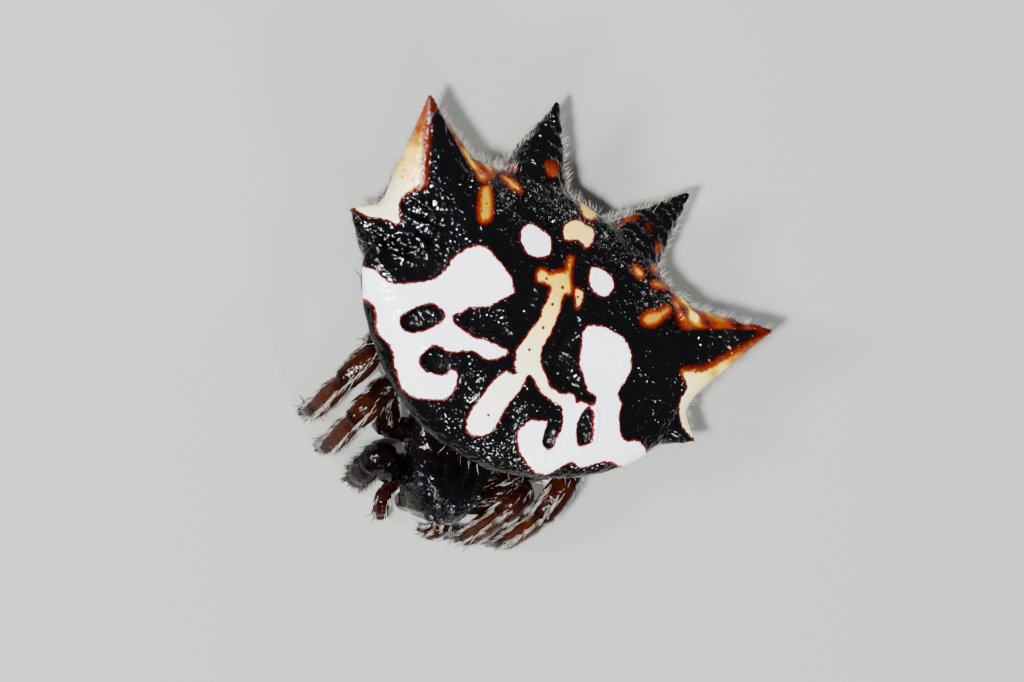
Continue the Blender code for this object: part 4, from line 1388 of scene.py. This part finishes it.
@dataclass
class HeadPlate:
    """The carapace: low behind, raised and narrowed in front, with its eight eyes.

    Attributes:
        floor: level of its flat under side.
        stations: y, half width and top of each section, from behind.
        power: power of the arched sections.
        eyes: place in plan and radius of the left eyes.
        rings: sections along it.
        around: vertices round it.
        hair_count: bristles on it.
        hair_seed: seed of their draw.
    """

    floor: float = 1.75
    stations: tuple[Triple, ...] = (
        (-1.32, 0.40, 2.02), (-1.70, 0.92, 2.22), (-2.20, 1.18, 2.35), (-2.75, 1.21, 2.42),
        (-3.25, 1.12, 2.52), (-3.65, 0.98, 2.72), (-4.00, 0.90, 2.86), (-4.35, 0.80, 2.84),
        (-4.62, 0.68, 2.68), (-4.84, 0.50, 2.38),
    )
    power: float = 2.9
    eyes: tuple[Triple, ...] = (
        (0.13, -4.74, 0.080), (0.17, -4.46, 0.080), (0.69, -4.14, 0.075), (0.75, -3.94, 0.075),
    )
    rings: int = 150
    around: int = 132
    hair_count: int = 260
    hair_seed: int = 47

    def height(self, x: float, y: float) -> float:
        """Height of the plate over a place, by its arched section of power self.power."""
        rows = smooth_path(np.array(self.stations), 80)[::-1]
        half = np.interp(y, rows[:, 0], rows[:, 1])
        top = np.interp(y, rows[:, 0], rows[:, 2])
        share = min(abs(x) / half, 1.0)
        return float(self.floor + (top - self.floor) * (1 - share**self.power) ** (1 / self.power))

    def surface(self) -> Surface:
        """Arched sections |x/w|^p + |z/h|^p = 1 over a flat under side, rounded off at both ends.

        Returns:
            The closed surface in the shield's frame.
        """
        rows = smooth_path(np.array(self.stations), self.rings)
        ends = smoothstep(0.0, 0.045, np.linspace(0, 1, self.rings))
        ends = 0.25 + 0.75 * (ends * smoothstep(0.0, 0.045, np.linspace(1, 0, self.rings)))
        angle = circle(self.around)[None, :]
        across = np.sign(np.cos(angle)) * np.abs(np.cos(angle)) ** (2 / self.power)
        up = np.sign(np.sin(angle)) * np.abs(np.sin(angle)) ** (2 / self.power)
        half = rows[:, 1:2] * (0.4 + 0.6 * ends[:, None])
        rise = (rows[:, 2:3] - self.floor) * ends[:, None]
        x = across * half
        z = self.floor + np.where(up > 0, up * rise, up * 0.16)
        y = np.broadcast_to(rows[:, 0:1], x.shape)
        crease = np.exp(-((np.abs(x) - 0.34 - 0.22 * (y + 3.6)) / 0.09) ** 2) * smoothstep(-4.1, -3.7, y)
        crease *= smoothstep(-2.6, -3.0, y)
        pit = np.exp(-((x / 0.10) ** 2 + ((y + 2.55) / 0.26) ** 2))
        points = np.stack([x, y, z], axis=-1)
        low = 0.020 * ripple(points.reshape(-1, 3), 0.42, 21).reshape(x.shape)
        points[..., 2] += np.where(up > 0, low - 0.07 * crease - 0.10 * pit, 0.0)
        return closed_tube(TURN.apply(points))

    def all_eyes(self) -> Iterator[tuple[Triple, float]]:
        """Each left eye with each side."""
        for eye in self.eyes:
            for side in SIDES.values():
                yield eye, side

    def eye_surfaces(self) -> Surface:
        """Eight balls set half into the plate: x = r cos a sin b, y = r sin a sin b, z = r cos b."""
        angle = circle(20)[None, :]
        polar = np.linspace(0.12, math.pi - 0.12, 14)[:, None]
        ball = np.stack([np.cos(angle) * np.sin(polar), np.sin(angle) * np.sin(polar),
                         np.cos(polar) + 0 * angle], axis=-1)
        parts = []
        for (x, y, radius), side in self.all_eyes():
            middle = np.array([side * x, y, self.height(x, y) + 0.25 * radius])
            parts.append(closed_tube(TURN.apply(ball * radius + middle)))
        return together(parts)

    def socket_surfaces(self) -> Surface:
        """A low ring of dark skin round each eye, tipped to the slope of the plate."""
        parts = []
        angle = circle(24)
        for (x, y, radius), side in self.all_eyes():
            middle = np.array([side * x, y, self.height(x, y) - 0.02])
            lean = (self.height(max(x + 0.02, 0.0), y) - self.height(max(x - 0.02, 0.0), y)) / 0.04 * side
            profile = np.array([(1.9, -0.9), (1.55, 0.0), (1.12, 0.55), (0.6, 0.2), (0.2, -0.9)]) * radius
            ring = np.stack([
                profile[:, :1] * np.cos(angle)[None],
                profile[:, :1] * np.sin(angle)[None],
                np.broadcast_to(profile[:, 1:], (5, 24)),
            ], axis=-1)
            ring[..., 2] += lean * ring[..., 0]
            parts.append(closed_tube(TURN.apply(ring + middle)))
        return together(parts)

    def build(self) -> None:
        """Make the plate with its eye rings, and the eyes."""
        whole = together([self.surface(), self.socket_surfaces()])
        piece_of("head_plate", whole, HardSkinFinish().make(), ["carapace"])
        piece_of("eyes", self.eye_surfaces(), EyeFinish().make())
        self.grow_hairs()

    def grow_hairs(self) -> None:
        """Short dark bristles that lie forward over the plate, most of them on its front."""
        rng = np.random.default_rng(self.hair_seed)
        shape = (self.rings, self.around)
        grid = self.surface().points[:self.rings * self.around].reshape(*shape, 3)
        along = np.gradient(grid, axis=0)
        around = (np.roll(grid, -1, axis=1) - np.roll(grid, 1, axis=1)) / 2
        normal = np.cross(around, along)
        area = np.linalg.norm(normal, axis=-1)
        middle = grid.mean(axis=1, keepdims=True)
        normal = unit(normal) * np.sign((normal * (grid - middle)).sum(axis=(1, 2)))[:, None, None]
        row, column = np.indices(shape)
        plan = np.column_stack([
            row.ravel() / self.rings * 0.9 + 0.05, column.ravel() / self.around * 0.9 + 0.05,
        ])
        front = smoothstep(90.0, 135.0, row) * (row < 146)
        weight = area * smoothstep(0.1, 0.5, normal[..., 2]) * (0.12 + front) * (row > 30) * (row < 148)
        lies = unit(along) + 0.35 * normal
        flat = (values.reshape(-1, 3) for values in (grid, normal, lies))
        hairs = Hairs()
        hairs.grow(roots_on(*flat, plan, weight.ravel(), self.hair_count, rng), BROW, rng)
        hairs.build("head_hairs", "carapace")


@dataclass
class Jaws:
    """The two chelicerae, each with its fang."""

    stations: tuple[Station, ...] = (
        (0.24, -4.44, 1.82, 0.16), (0.26, -4.46, 1.60, 0.24), (0.28, -4.52, 1.36, 0.27),
        (0.28, -4.56, 1.02, 0.25), (0.25, -4.56, 0.76, 0.20), (0.20, -4.53, 0.62, 0.12),
    )
    fang: tuple[Station, ...] = (
        (0.27, -4.56, 0.70, 0.075), (0.22, -4.60, 0.56, 0.065), (0.12, -4.58, 0.46, 0.045),
        (0.05, -4.52, 0.44, 0.015),
    )
    fang_tone: float = 0.35

    def tube(self, rows: Sequence[Station], side: float, steps: int, around: int) -> Surface:
        """A tube along stations given on the left, put on a side and turned with the front body."""
        stations = np.array(rows) * np.array([side, 1.0, 1.0, 1.0])
        stations[:, :3] = TURN.apply(stations[:, :3])
        return tube_surface(stations, steps, around)

    def build(self) -> None:
        """Make both jaws and both fangs."""
        skin, horn = HardSkinFinish("jaw_skin", second=(0.05, 0.014, 0.007)).make(), LimbFinish().make()
        for name, side in SIDES.items():
            jaw = self.tube(self.stations, side, 60, 36)
            piece_of(f"jaw_{name}", jaw, skin, [f"chelicera_{name}"])
            fang = self.tube(self.fang, side, 30, 16)
            tones = {"tone": np.full(len(fang.points), self.fang_tone)}
            piece_of(f"fang_{name}", fang, horn, (), tones)


@dataclass
class Underside:
    """The breast plate with its lip and mouth lobes, the stalk, and the spinnerets.

    Attributes:
        plate_half: half width and half length of the breast plate.
        plate_level: heights of its underside and its top.
        lobe_rows: place, half width and length of the lip and the lobes.
        stalk: stations of the stalk.
        collar: radius and depth of the spinnerets' collar.
        apex: middle of the spinnerets' base.
        teats: place, length and radius of the left three spinnerets.
    """

    plate_half: Pair = (0.70, 1.20)
    plate_level: Pair = (0.94, 1.50)
    lobe_rows: tuple[Station, ...] = (
        (0.0, -3.84, 0.17, 0.30), (0.26, -3.96, 0.19, 0.40), (-0.26, -3.96, 0.19, 0.40),
    )
    stalk: tuple[Station, ...] = (
        (0.02, -1.48, 1.92, 0.26), (-0.02, -1.06, 1.94, 0.25), (-0.10, -0.92, 2.00, 0.27),
        (-0.18, -0.80, 2.06, 0.25), (-0.22, -0.52, 2.16, 0.26),
    )
    collar: Pair = (0.42, 0.28)
    apex: Triple = (0.0, 1.05, 0.95)
    teats: tuple[Station, ...] = (
        (0.15, -0.14, 0.30, 0.13), (0.20, 0.12, 0.28, 0.12), (0.07, 0.02, 0.20, 0.07),
    )

    def breast_plate(self) -> Surface:
        """A heart-shaped low dome: rings |cos a|, |sin a| narrowed behind, drawn in towards the middle."""
        angle = circle(72)[None, :]
        share = np.array([0.05, 0.35, 0.62, 0.82, 0.94, 1.0, 1.0, 0.97, 0.80, 0.4, 0.05])[:, None]
        level = np.array([0.0, 0.01, 0.03, 0.08, 0.16, 0.30, 0.55, 0.85, 1.0, 1.0, 1.0])[:, None]
        taper = 1.0 - 0.16 * np.sin(angle)
        x = self.plate_half[0] * share * np.cos(angle) * taper
        y = PLATE_Y + self.plate_half[1] * share * np.sin(angle)
        z = self.plate_level[0] + (self.plate_level[1] - self.plate_level[0]) * level + 0 * angle
        return closed_tube(TURN.apply(np.stack([x, y, z], axis=-1)))

    def lobes(self) -> Surface:
        """The lip and a lobe at each side of it, as short round tubes run forward under the jaws."""
        parts = []
        for x, y, half, length in self.lobe_rows:
            rows = np.array([
                (x, y + 0.5 * length, 1.20, 0.4 * half), (x, y + 0.3 * length, 1.19, half),
                (x, y - 0.3 * length, 1.16, half), (x, y - 0.5 * length, 1.14, 0.4 * half),
            ])
            rows[:, :3] = TURN.apply(rows[:, :3])
            parts.append(tube_surface(rows, 16, 20, 0.8))
        return together(parts)

    def spinneret_group(self) -> Surface:
        """A folded collar, and six cones inside it that lean out a little."""
        x, y, z = self.apex
        radius, depth = self.collar
        angle = circle(64)[None, :]
        share = np.array([0.3, 1.02, 1.0, 0.93, 0.97, 0.86, 0.80, 0.5, 0.15])[:, None]
        drop = np.array([-0.45, -0.38, 0.05, 0.35, 0.60, 0.85, 1.0, 0.92, 0.88])[:, None] * depth
        fold = 1 + 0.025 * np.sin(14 * angle)
        parts = [closed_tube(np.stack([
            x + radius * share * np.cos(angle) * fold,
            y + radius * share * np.sin(angle) * fold,
            z - 0.20 - drop + 0 * angle,
        ], axis=-1))]
        base = z - 0.20 - depth + 0.06
        for dx, dy, length, wide in self.teats:
            for side in SIDES.values():
                rows = np.array([
                    (x + side * dx, y + dy, base + 0.05, wide),
                    (x + side * dx * 1.1, y + dy * 1.1, base - 0.4 * length, 0.86 * wide),
                    (x + side * dx * 0.95, y + dy, base - 0.8 * length, 0.52 * wide),
                    (x + side * dx * 0.85, y + dy * 0.9, base - length, 0.25 * wide),
                ])
                parts.append(tube_surface(rows, 18, 18))
        return together(parts)

    def build(self) -> None:
        """Make the plate, stalk and spinnerets."""
        skin = HardSkinFinish("under_skin", (0.012, 0.006, 0.005), (0.06, 0.02, 0.01), 0.12, 0.02).make()
        plate = together([self.breast_plate(), self.lobes()])
        piece_of("breast_plate", plate, skin, ["sternum"])
        piece_of("stalk", tube_surface(np.array(self.stalk), 30, 28), skin, ["pedicel"])
        piece_of("spinneret_group", self.spinneret_group(), skin, ["spinnerets"])


# Legs and palps.

STRIPES = (-1.75, -0.72, 0.72, 1.75)
CLAW_ROWS: tuple[Station, ...] = (
    (0.05, 0.05, 0.13, 0.030), (0.13, 0.06, 0.14, 0.026), (0.19, 0.07, 0.10, 0.018),
    (0.20, 0.075, 0.035, 0.006),
)
CLAW_TONE = 0.08
LIMB_HAIR_SEED = 61
# Joints of the folded legs past the coxa, from the near end; the last pair is the foot on the floor.
LEG_POSES: dict[str, tuple[tuple[float, ...], ...]] = {
    "leg_1_right": (
        (-0.80, -4.03, 1.76), (-0.86, -4.37, 1.58), (-0.70, -4.64, 0.92), (-0.57, -4.68, 0.42),
        (-0.51, -4.68),
    ),
    "leg_1_left": (
        (2.45, -3.02, 2.08), (2.38, -3.26, 2.34), (2.30, -3.72, 2.14), (2.24, -4.48, 1.20),
        (2.12, -4.52),
    ),
    "leg_2_right": (
        (-1.70, -2.84, 2.08), (-1.84, -3.14, 2.38), (-1.96, -3.80, 2.18), (-1.80, -4.48, 1.20),
        (-1.56, -4.46),
    ),
    "leg_2_left": (
        (3.06, -1.88, 1.94), (3.24, -2.20, 2.24), (3.17, -3.26, 2.12), (3.08, -4.08, 1.20),
        (3.04, -4.14),
    ),
    "leg_3_right": (
        (-2.34, -1.84, 2.00), (-2.44, -2.26, 2.34), (-2.64, -3.18, 2.18), (-2.56, -3.98, 1.20),
        (-2.30, -4.00),
    ),
    "leg_3_left": (
        (2.96, -0.98, 1.84), (3.28, -1.02, 1.68), (3.66, -1.56, 0.96), (3.72, -1.84, 0.42),
        (3.72, -1.94),
    ),
    "leg_4_right": (
        (-3.02, -1.04, 1.84), (-3.22, -0.54, 1.76), (-3.16, 0.86, 1.12), (-2.92, 1.76, 0.44),
        (-2.80, 1.98),
    ),
    "leg_4_left": (
        (2.76, -0.06, 1.80), (2.96, 0.34, 1.72), (3.04, 1.40, 1.10), (2.88, 2.06, 0.44),
        (2.80, 2.24),
    ),
}


@dataclass
class Limb:
    """A jointed limb as one skin: a tube that swells along each segment and narrows at each joint.

    Attributes:
        name: name of the piece.
        joints: places of the joints in millimetres, root first.
        radii: radius of each segment.
        tones: shade of each segment, 0 dark to 1 orange-brown.
        tip_radius: radius at the far end.
        node: the solid that it stands for.
        rings_each: rings of each segment.
        around: vertices round it.
        roots_per_mm: places tried for hairs, for each millimetre of length.
    """

    name: str
    joints: Array
    radii: tuple[float, ...]
    tones: tuple[float, ...]
    tip_radius: float
    node: str
    rings_each: int = 18
    around: int = 28
    roots_per_mm: int = 1450

    def skin(self) -> tuple[Surface, Array]:
        """The tube and the tone of each vertex.

        Within a segment the radius is r (0.68 + 0.30 sin^0.55 pi s), with a collar of 0.07 r at its far end.

        Returns:
            The surface, and the tones.
        """
        centres, radii, tones = [], [], []
        share = (np.arange(self.rings_each) + 0.5) / self.rings_each
        swell = 0.68 + 0.30 * np.sin(math.pi * share) ** 0.55
        collar = 0.07 * np.exp(-(((share - 0.94) / 0.05) ** 2))
        dim = 0.55 * np.exp(-((share / 0.10) ** 2)) + 0.75 * np.exp(-(((share - 1) / 0.16) ** 2))
        for k, (radius, tone) in enumerate(zip(self.radii, self.tones)):
            centres.append(self.joints[k] + (self.joints[k + 1] - self.joints[k]) * share[:, None])
            radii.append(radius * swell + radius * collar)
            tones.append(tone * (1 - np.clip(dim, 0, 1)))
        radii[-1] = self.radii[-1] + (self.tip_radius - self.radii[-1]) * share**1.3
        centre, size, tone = np.vstack(centres), np.concatenate(radii), np.concatenate(tones)
        kernel = np.exp(-((np.arange(-4, 5) / 1.8) ** 2))
        kernel /= kernel.sum()
        padded = np.vstack([np.repeat(centre[:1], 4, 0), centre, np.repeat(centre[-1:], 4, 0)])
        eased = np.stack([np.convolve(padded[:, k], kernel, "valid") for k in range(3)], axis=1)
        start = self.joints[0] - 0.02 * (self.joints[1] - self.joints[0])
        rows = np.vstack([
            np.append(start, 0.55 * size[0]), np.column_stack([eased, size]),
            np.append(self.joints[-1], 0.5 * self.tip_radius),
        ])
        surface = tube_surface(rows, len(rows), self.around)
        surface.points[:, 2] = np.maximum(surface.points[:, 2], 0.0)
        each = np.repeat(np.concatenate([tone[:1], tone, tone[-1:]]), self.around)
        return surface, np.concatenate([each, tone[:1], tone[-1:]])

    def build(self, finish: bpy.types.Material) -> None:
        """Make the limb's skin."""
        surface, tones = self.skin()
        piece_of(self.name, surface, finish, [self.node], {"tone": tones})

    def roots(self, count: int, cell: int, rng: np.random.Generator) -> tuple[Roots, Array, Array]:
        """Random places on the limb, even by length and angle.

        Args:
            count: places to draw.
            cell: which of the ten cells of the coat's unwrap is this limb's.
            rng: source of the draw.

        Returns:
            The roots, the angle of each from the limb's outer side, and its segment with the share along it.
        """
        rings = self.rings_each * len(self.radii) + 2
        grid = self.skin()[0].points[:rings * self.around].reshape(rings, self.around, 3)
        centre = grid.mean(axis=1)
        length = np.concatenate([[0.0], np.cumsum(np.linalg.norm(np.diff(centre, axis=0), axis=1))])
        row = np.interp(rng.uniform(length[1], length[-2], count), length, np.arange(rings))
        column = rng.uniform(0, self.around, count)
        low, left = row.astype(int), column.astype(int)
        right = (left + 1) % self.around
        down, over = (row - low)[:, None], (column - left)[:, None]
        near = grid[low, left] * (1 - over) + grid[low, right] * over
        far = grid[low + 1, left] * (1 - over) + grid[low + 1, right] * over
        place = near * (1 - down) + far * down
        lie = unit(centre[low + 1] - centre[low])
        normal = place - centre[low] * (1 - down) - centre[low + 1] * down
        normal = unit(normal - lie * (normal * lie).sum(axis=1, keepdims=True))
        outward = place - FRONT_MIDDLE
        outward[:, 2] = 0.0
        back = 0.75 * unit(outward) + np.array([0.0, 0.0, 1.0])
        back = unit(back - lie * (back * lie).sum(axis=1, keepdims=True))
        angle = np.arctan2((normal * np.cross(lie, back)).sum(axis=1), (normal * back).sum(axis=1))
        patch = np.column_stack([
            (cell % 5 + 0.05 + 0.9 * column / self.around) / 5, (cell // 5 + 0.05 + 0.9 * row / rings) / 2,
        ])
        return Roots(place, normal, lie, patch), angle, (row - 1) / self.rings_each

    def grow_hairs(self, hairs: Hairs, cell: int, rng: np.random.Generator) -> None:
        """Bristles in lengthwise stripes, white but dark as painted shade on the shaded right front leg,
        short dark ones and a few stout ones.

        Args:
            hairs: the coat that they join.
            cell: the limb's cell of the unwrap.
            rng: source of their differences.
        """
        span = float(np.linalg.norm(np.diff(self.joints, axis=0), axis=1).sum())
        roots, angle, at = self.roots(int(self.roots_per_mm * span), cell, rng)
        stripe = sum(np.exp(-(((angle - centre) / 0.15) ** 2)) for centre in STRIPES)
        hairy = (at > 1.05) * (0.55 + 0.45 * (at > 2.0)) * (1 - 0.6 * (at > len(self.radii) - 1.0))
        chance = rng.uniform(size=len(angle))
        # The right front leg's near-black tones are painted shade, so its stripe hairs get the dark
        # painted-shade kind.
        kind = PAINTED_SHADE_STRIPE if max(self.tones) < 0.4 else STRIPE
        hairs.grow(roots.kept(chance < 0.85 * stripe * hairy), kind, rng)
        dense = 0.95 - 0.05 * (at > len(self.radii) - 1.3) * (kind is STRIPE)
        hairs.grow(roots.kept((chance > dense) & (at > 0.6)), LEG_DOWN, rng)
        hairs.grow(roots.kept((chance > 0.50) & (chance < 0.505) & (at > 2.0)), LEG_SPINE, rng)

    def claws(self) -> Surface:
        """Two curved claws at the end of the last segment, each thinned to a point on the floor."""
        foot = self.joints[-1]
        away = self.joints[-2] - foot + 0.02 * (foot - FRONT_MIDDLE)
        level = np.array([1.0, 1.0, 0.0])
        outward = unit((foot - FRONT_MIDDLE) * level + 0.5 * away * level)
        square = np.array([-outward[1], outward[0], 0.0])
        rows = np.array(CLAW_ROWS)
        parts = []
        for side in SIDES.values():
            path = foot * level + rows[:, :1] * outward + side * rows[:, 1:2] * square
            path[:, 2] = rows[:, 2]
            parts.append(tube_surface(np.column_stack([path, rows[:, 3]]), 14, 10))
        return together(parts)


@dataclass
class Legs:
    """All eight legs: where each coxa leaves the breast plate, and the shape of the rest.

    Attributes:
        ring: half sizes of the oval where the coxae stand.
        angles: angle of each pair on it, from the front.
        height: level of the coxae.
        length, sink: how far a coxa stands out of the oval, and in.
        radii, tones: radius and shade of each segment.
        painted_shade_tones: shades of the right front leg, kept near black as painted shade because it stands
            in shadow.
        foot_radius: radius at the foot.
    """

    ring: Pair = (0.96, 1.46)
    angles: tuple[float, ...] = (38.0, 72.0, 106.0, 142.0)
    height: float = 1.24
    length: float = 0.56
    sink: float = 0.42
    radii: tuple[float, ...] = (0.30, 0.38, 0.36, 0.34, 0.28, 0.23)
    tones: tuple[float, ...] = (0.03, 0.15, 0.36, 0.60, 0.82, 0.08)
    painted_shade_tones: tuple[float, ...] = (0.0, 0.01, 0.02, 0.06, 0.10, 0.02)
    foot_radius: float = 0.16

    def limbs(self) -> list[Limb]:
        """The eight legs as limbs, their coxae square to the turned breast plate."""
        made = []
        for name, pose in LEG_POSES.items():
            _, pair, side = name.split("_")
            angle = math.radians(self.angles[int(pair) - 1])
            sine, cosine = math.sin(angle), math.cos(angle)
            root = np.array([self.ring[0] * sine, PLATE_Y - self.ring[1] * cosine, self.height])
            square = unit(np.array([sine / self.ring[0], -cosine / self.ring[1], 0.0]))
            coxa = np.array([root - self.sink * square, root + self.length * square])
            joints = np.vstack([TURN.apply(coxa * flip(SIDES[side])), pose[:-1], (*pose[-1], 0.0)])
            # The right front leg gets near-black tones: painted shade, as it stands in shadow.
            tones = self.painted_shade_tones if name == "leg_1_right" else self.tones
            made.append(Limb(f"{name}_skin", joints, self.radii, tones, self.foot_radius, name))
        return made


@dataclass
class Palps:
    """The two palps."""

    path: tuple[Triple, ...] = (
        (0.56, -4.20, 0.74), (0.80, -4.54, 0.90), (0.80, -4.84, 0.98), (0.68, -5.00, 0.80),
        (0.52, -5.03, 0.38),
    )
    radii: tuple[float, ...] = (0.17, 0.20, 0.20, 0.20)
    tones: tuple[float, ...] = (0.4, 0.5, 0.6, 0.3)
    tip_radius: float = 0.10
    rings_each: int = 14
    around: int = 22

    def limbs(self) -> list[Limb]:
        """Both palps as limbs."""
        made = []
        for name, side in SIDES.items():
            joints = TURN.apply(np.array(self.path) * flip(side))
            made.append(Limb(f"palp_{name}_skin", joints, self.radii, self.tones, self.tip_radius,
                             f"palp_{name}", self.rings_each, self.around))
        return made


# Setting: floor, light and camera.


@dataclass
class PhotoCamera:
    """The camera of the photograph, near-parallel: it looks down on the shield, tilted and rolled.

    Attributes:
        tilt, pitch, roll: turns in degrees.
        frame_width: width of the picture at the shield, in millimetres.
        distance: distance from the shield, in millimetres.
        level: height of the place that it looks at.
        offset: shift of that place to the right and up in the picture.
        sensor: width of the sensor, in millimetres.
    """

    tilt: float = 20.0
    pitch: float = 8.0
    roll: float = 31.1
    frame_width: float = 23.24
    distance: float = 150.0
    level: float = 3.3
    offset: Pair = (-0.2837, -0.3405)
    sensor: float = 36.0

    def build(self) -> None:
        """Make the camera and set it as the scene's."""
        tilt, pitch, roll = (math.radians(v) for v in (self.tilt, self.pitch, self.roll))
        u = Vector((math.cos(tilt), 0.0, math.sin(tilt)))
        v = Vector((-math.sin(pitch) * math.sin(tilt), math.cos(pitch), math.sin(pitch) * math.cos(tilt)))
        right = math.cos(roll) * u + math.sin(roll) * v
        top = math.cos(roll) * v - math.sin(roll) * u
        back = right.cross(top).normalized()
        aim = Vector((*BODY_SHIFT[:2], self.level)) + self.offset[0] * right + self.offset[1] * top
        data = bpy.data.cameras.new("photo_camera")
        data.sensor_width = self.sensor
        data.lens = self.sensor * self.distance / self.frame_width
        data.clip_start, data.clip_end = 0.001, 10.0
        camera = put("photo_camera", data)
        turn = Matrix((right, top, back)).transposed().to_4x4()
        camera.matrix_world = Matrix.Translation((aim + back * self.distance) * MM) @ turn
        bpy.context.scene.camera = camera


class Lamp(Enum):
    """Studio lamps: place in millimetres, size across in millimetres, power in watts, colour."""

    KEY = ((-150.0, -70.0, 150.0), 36.0, 0.44, (1.0, 1.0, 1.0))
    FILL = ((130.0, -120.0, 130.0), 36.0, 0.34, (1.0, 1.0, 1.0))
    BACK = ((60.0, 200.0, 80.0), 40.0, 0.05, (1.0, 1.0, 1.0))
    FLASH = ((-62.0, -40.0, 150.0), 8.0, 0.72, (1.0, 1.0, 1.0))
    GLINT = ((-18.0, -56.0, 154.0), 5.0, 0.048, (0.70, 0.84, 1.0))

    def build(self) -> None:
        """Make the lamp, pointed at the middle of the spider."""
        place, size, power, colour = self.value
        light = bpy.data.lights.new(self.name.lower(), "AREA")
        light.shape = "DISK"
        light.size = size * MM
        light.energy = power
        light.color = colour
        holder = put(self.name.lower(), light)
        holder.location = Vector(place) * MM
        toward = Vector((0.0, 0.0, 2.0 * MM)) - Vector(place) * MM
        holder.rotation_euler = toward.to_track_quat("-Z", "Y").to_euler()


@dataclass
class Studio:
    """A plain pale floor and soft light."""

    floor_half: float = 400.0
    floor_colour: Triple = (0.35, 0.35, 0.33)
    floor_shade: float = 0.93
    cloud_size: float = 30.0
    sky: Triple = (0.80, 0.82, 0.85)
    sky_strength: float = 0.20

    def build(self) -> None:
        """Make the floor, the lamps and the sky."""
        paint = Paint("floor_paper")
        shade = tuple(self.floor_shade * value for value in self.floor_colour)
        colour = paint.mix(paint.cloud(self.cloud_size), self.floor_colour, shade)
        h = self.floor_half * MM
        mesh = bpy.data.meshes.new("floor")
        mesh.from_pydata([(-h, -h, 0.0), (h, -h, 0.0), (h, h, 0.0), (-h, h, 0.0)], [], [(0, 1, 2, 3)])
        mesh.materials.append(paint.finish(Base_Color=colour, Roughness=0.9))
        floor = put("floor", mesh)
        for lamp in Lamp:
            lamp.build()
        world = bpy.data.worlds.new("studio_sky")
        world.use_nodes = True
        background = world.node_tree.nodes["Background"]
        background.inputs["Color"].default_value = (*self.sky, 1.0)
        background.inputs["Strength"].default_value = self.sky_strength
        bpy.context.scene.world = world


def dress_limbs(legs: list[Limb], palps: list[Limb]) -> None:
    """Make the skins, claws and hairs of the legs and palps.

    Args:
        legs: the eight legs.
        palps: the two palps.
    """
    horn = LimbFinish().make()
    for side in SIDES:
        rng = np.random.default_rng(LIMB_HAIR_SEED + len(side))
        hairs = Hairs()
        for cell, limb in enumerate([limb for limb in legs + palps if side in limb.name]):
            limb.build(horn)
            limb.grow_hairs(hairs, cell, rng)
        hairs.build(f"limb_hairs_{side}", "leg")
    claws = together([limb.claws() for limb in legs])
    piece_of("claws", claws, horn, (), {"tone": np.full(len(claws.points), CLAW_TONE)})


def main() -> None:
    """Build the spider in order, from the setting to the limbs."""
    logging.basicConfig(level=logging.INFO, format="%(message)s")
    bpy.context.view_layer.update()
    PhotoCamera().build()
    Studio().build()
    Shield().build()
    HeadPlate().build()
    Jaws().build()
    Underside().build()
    dress_limbs(Legs().limbs(), Palps().limbs())


if __name__ == "__main__":
    main()
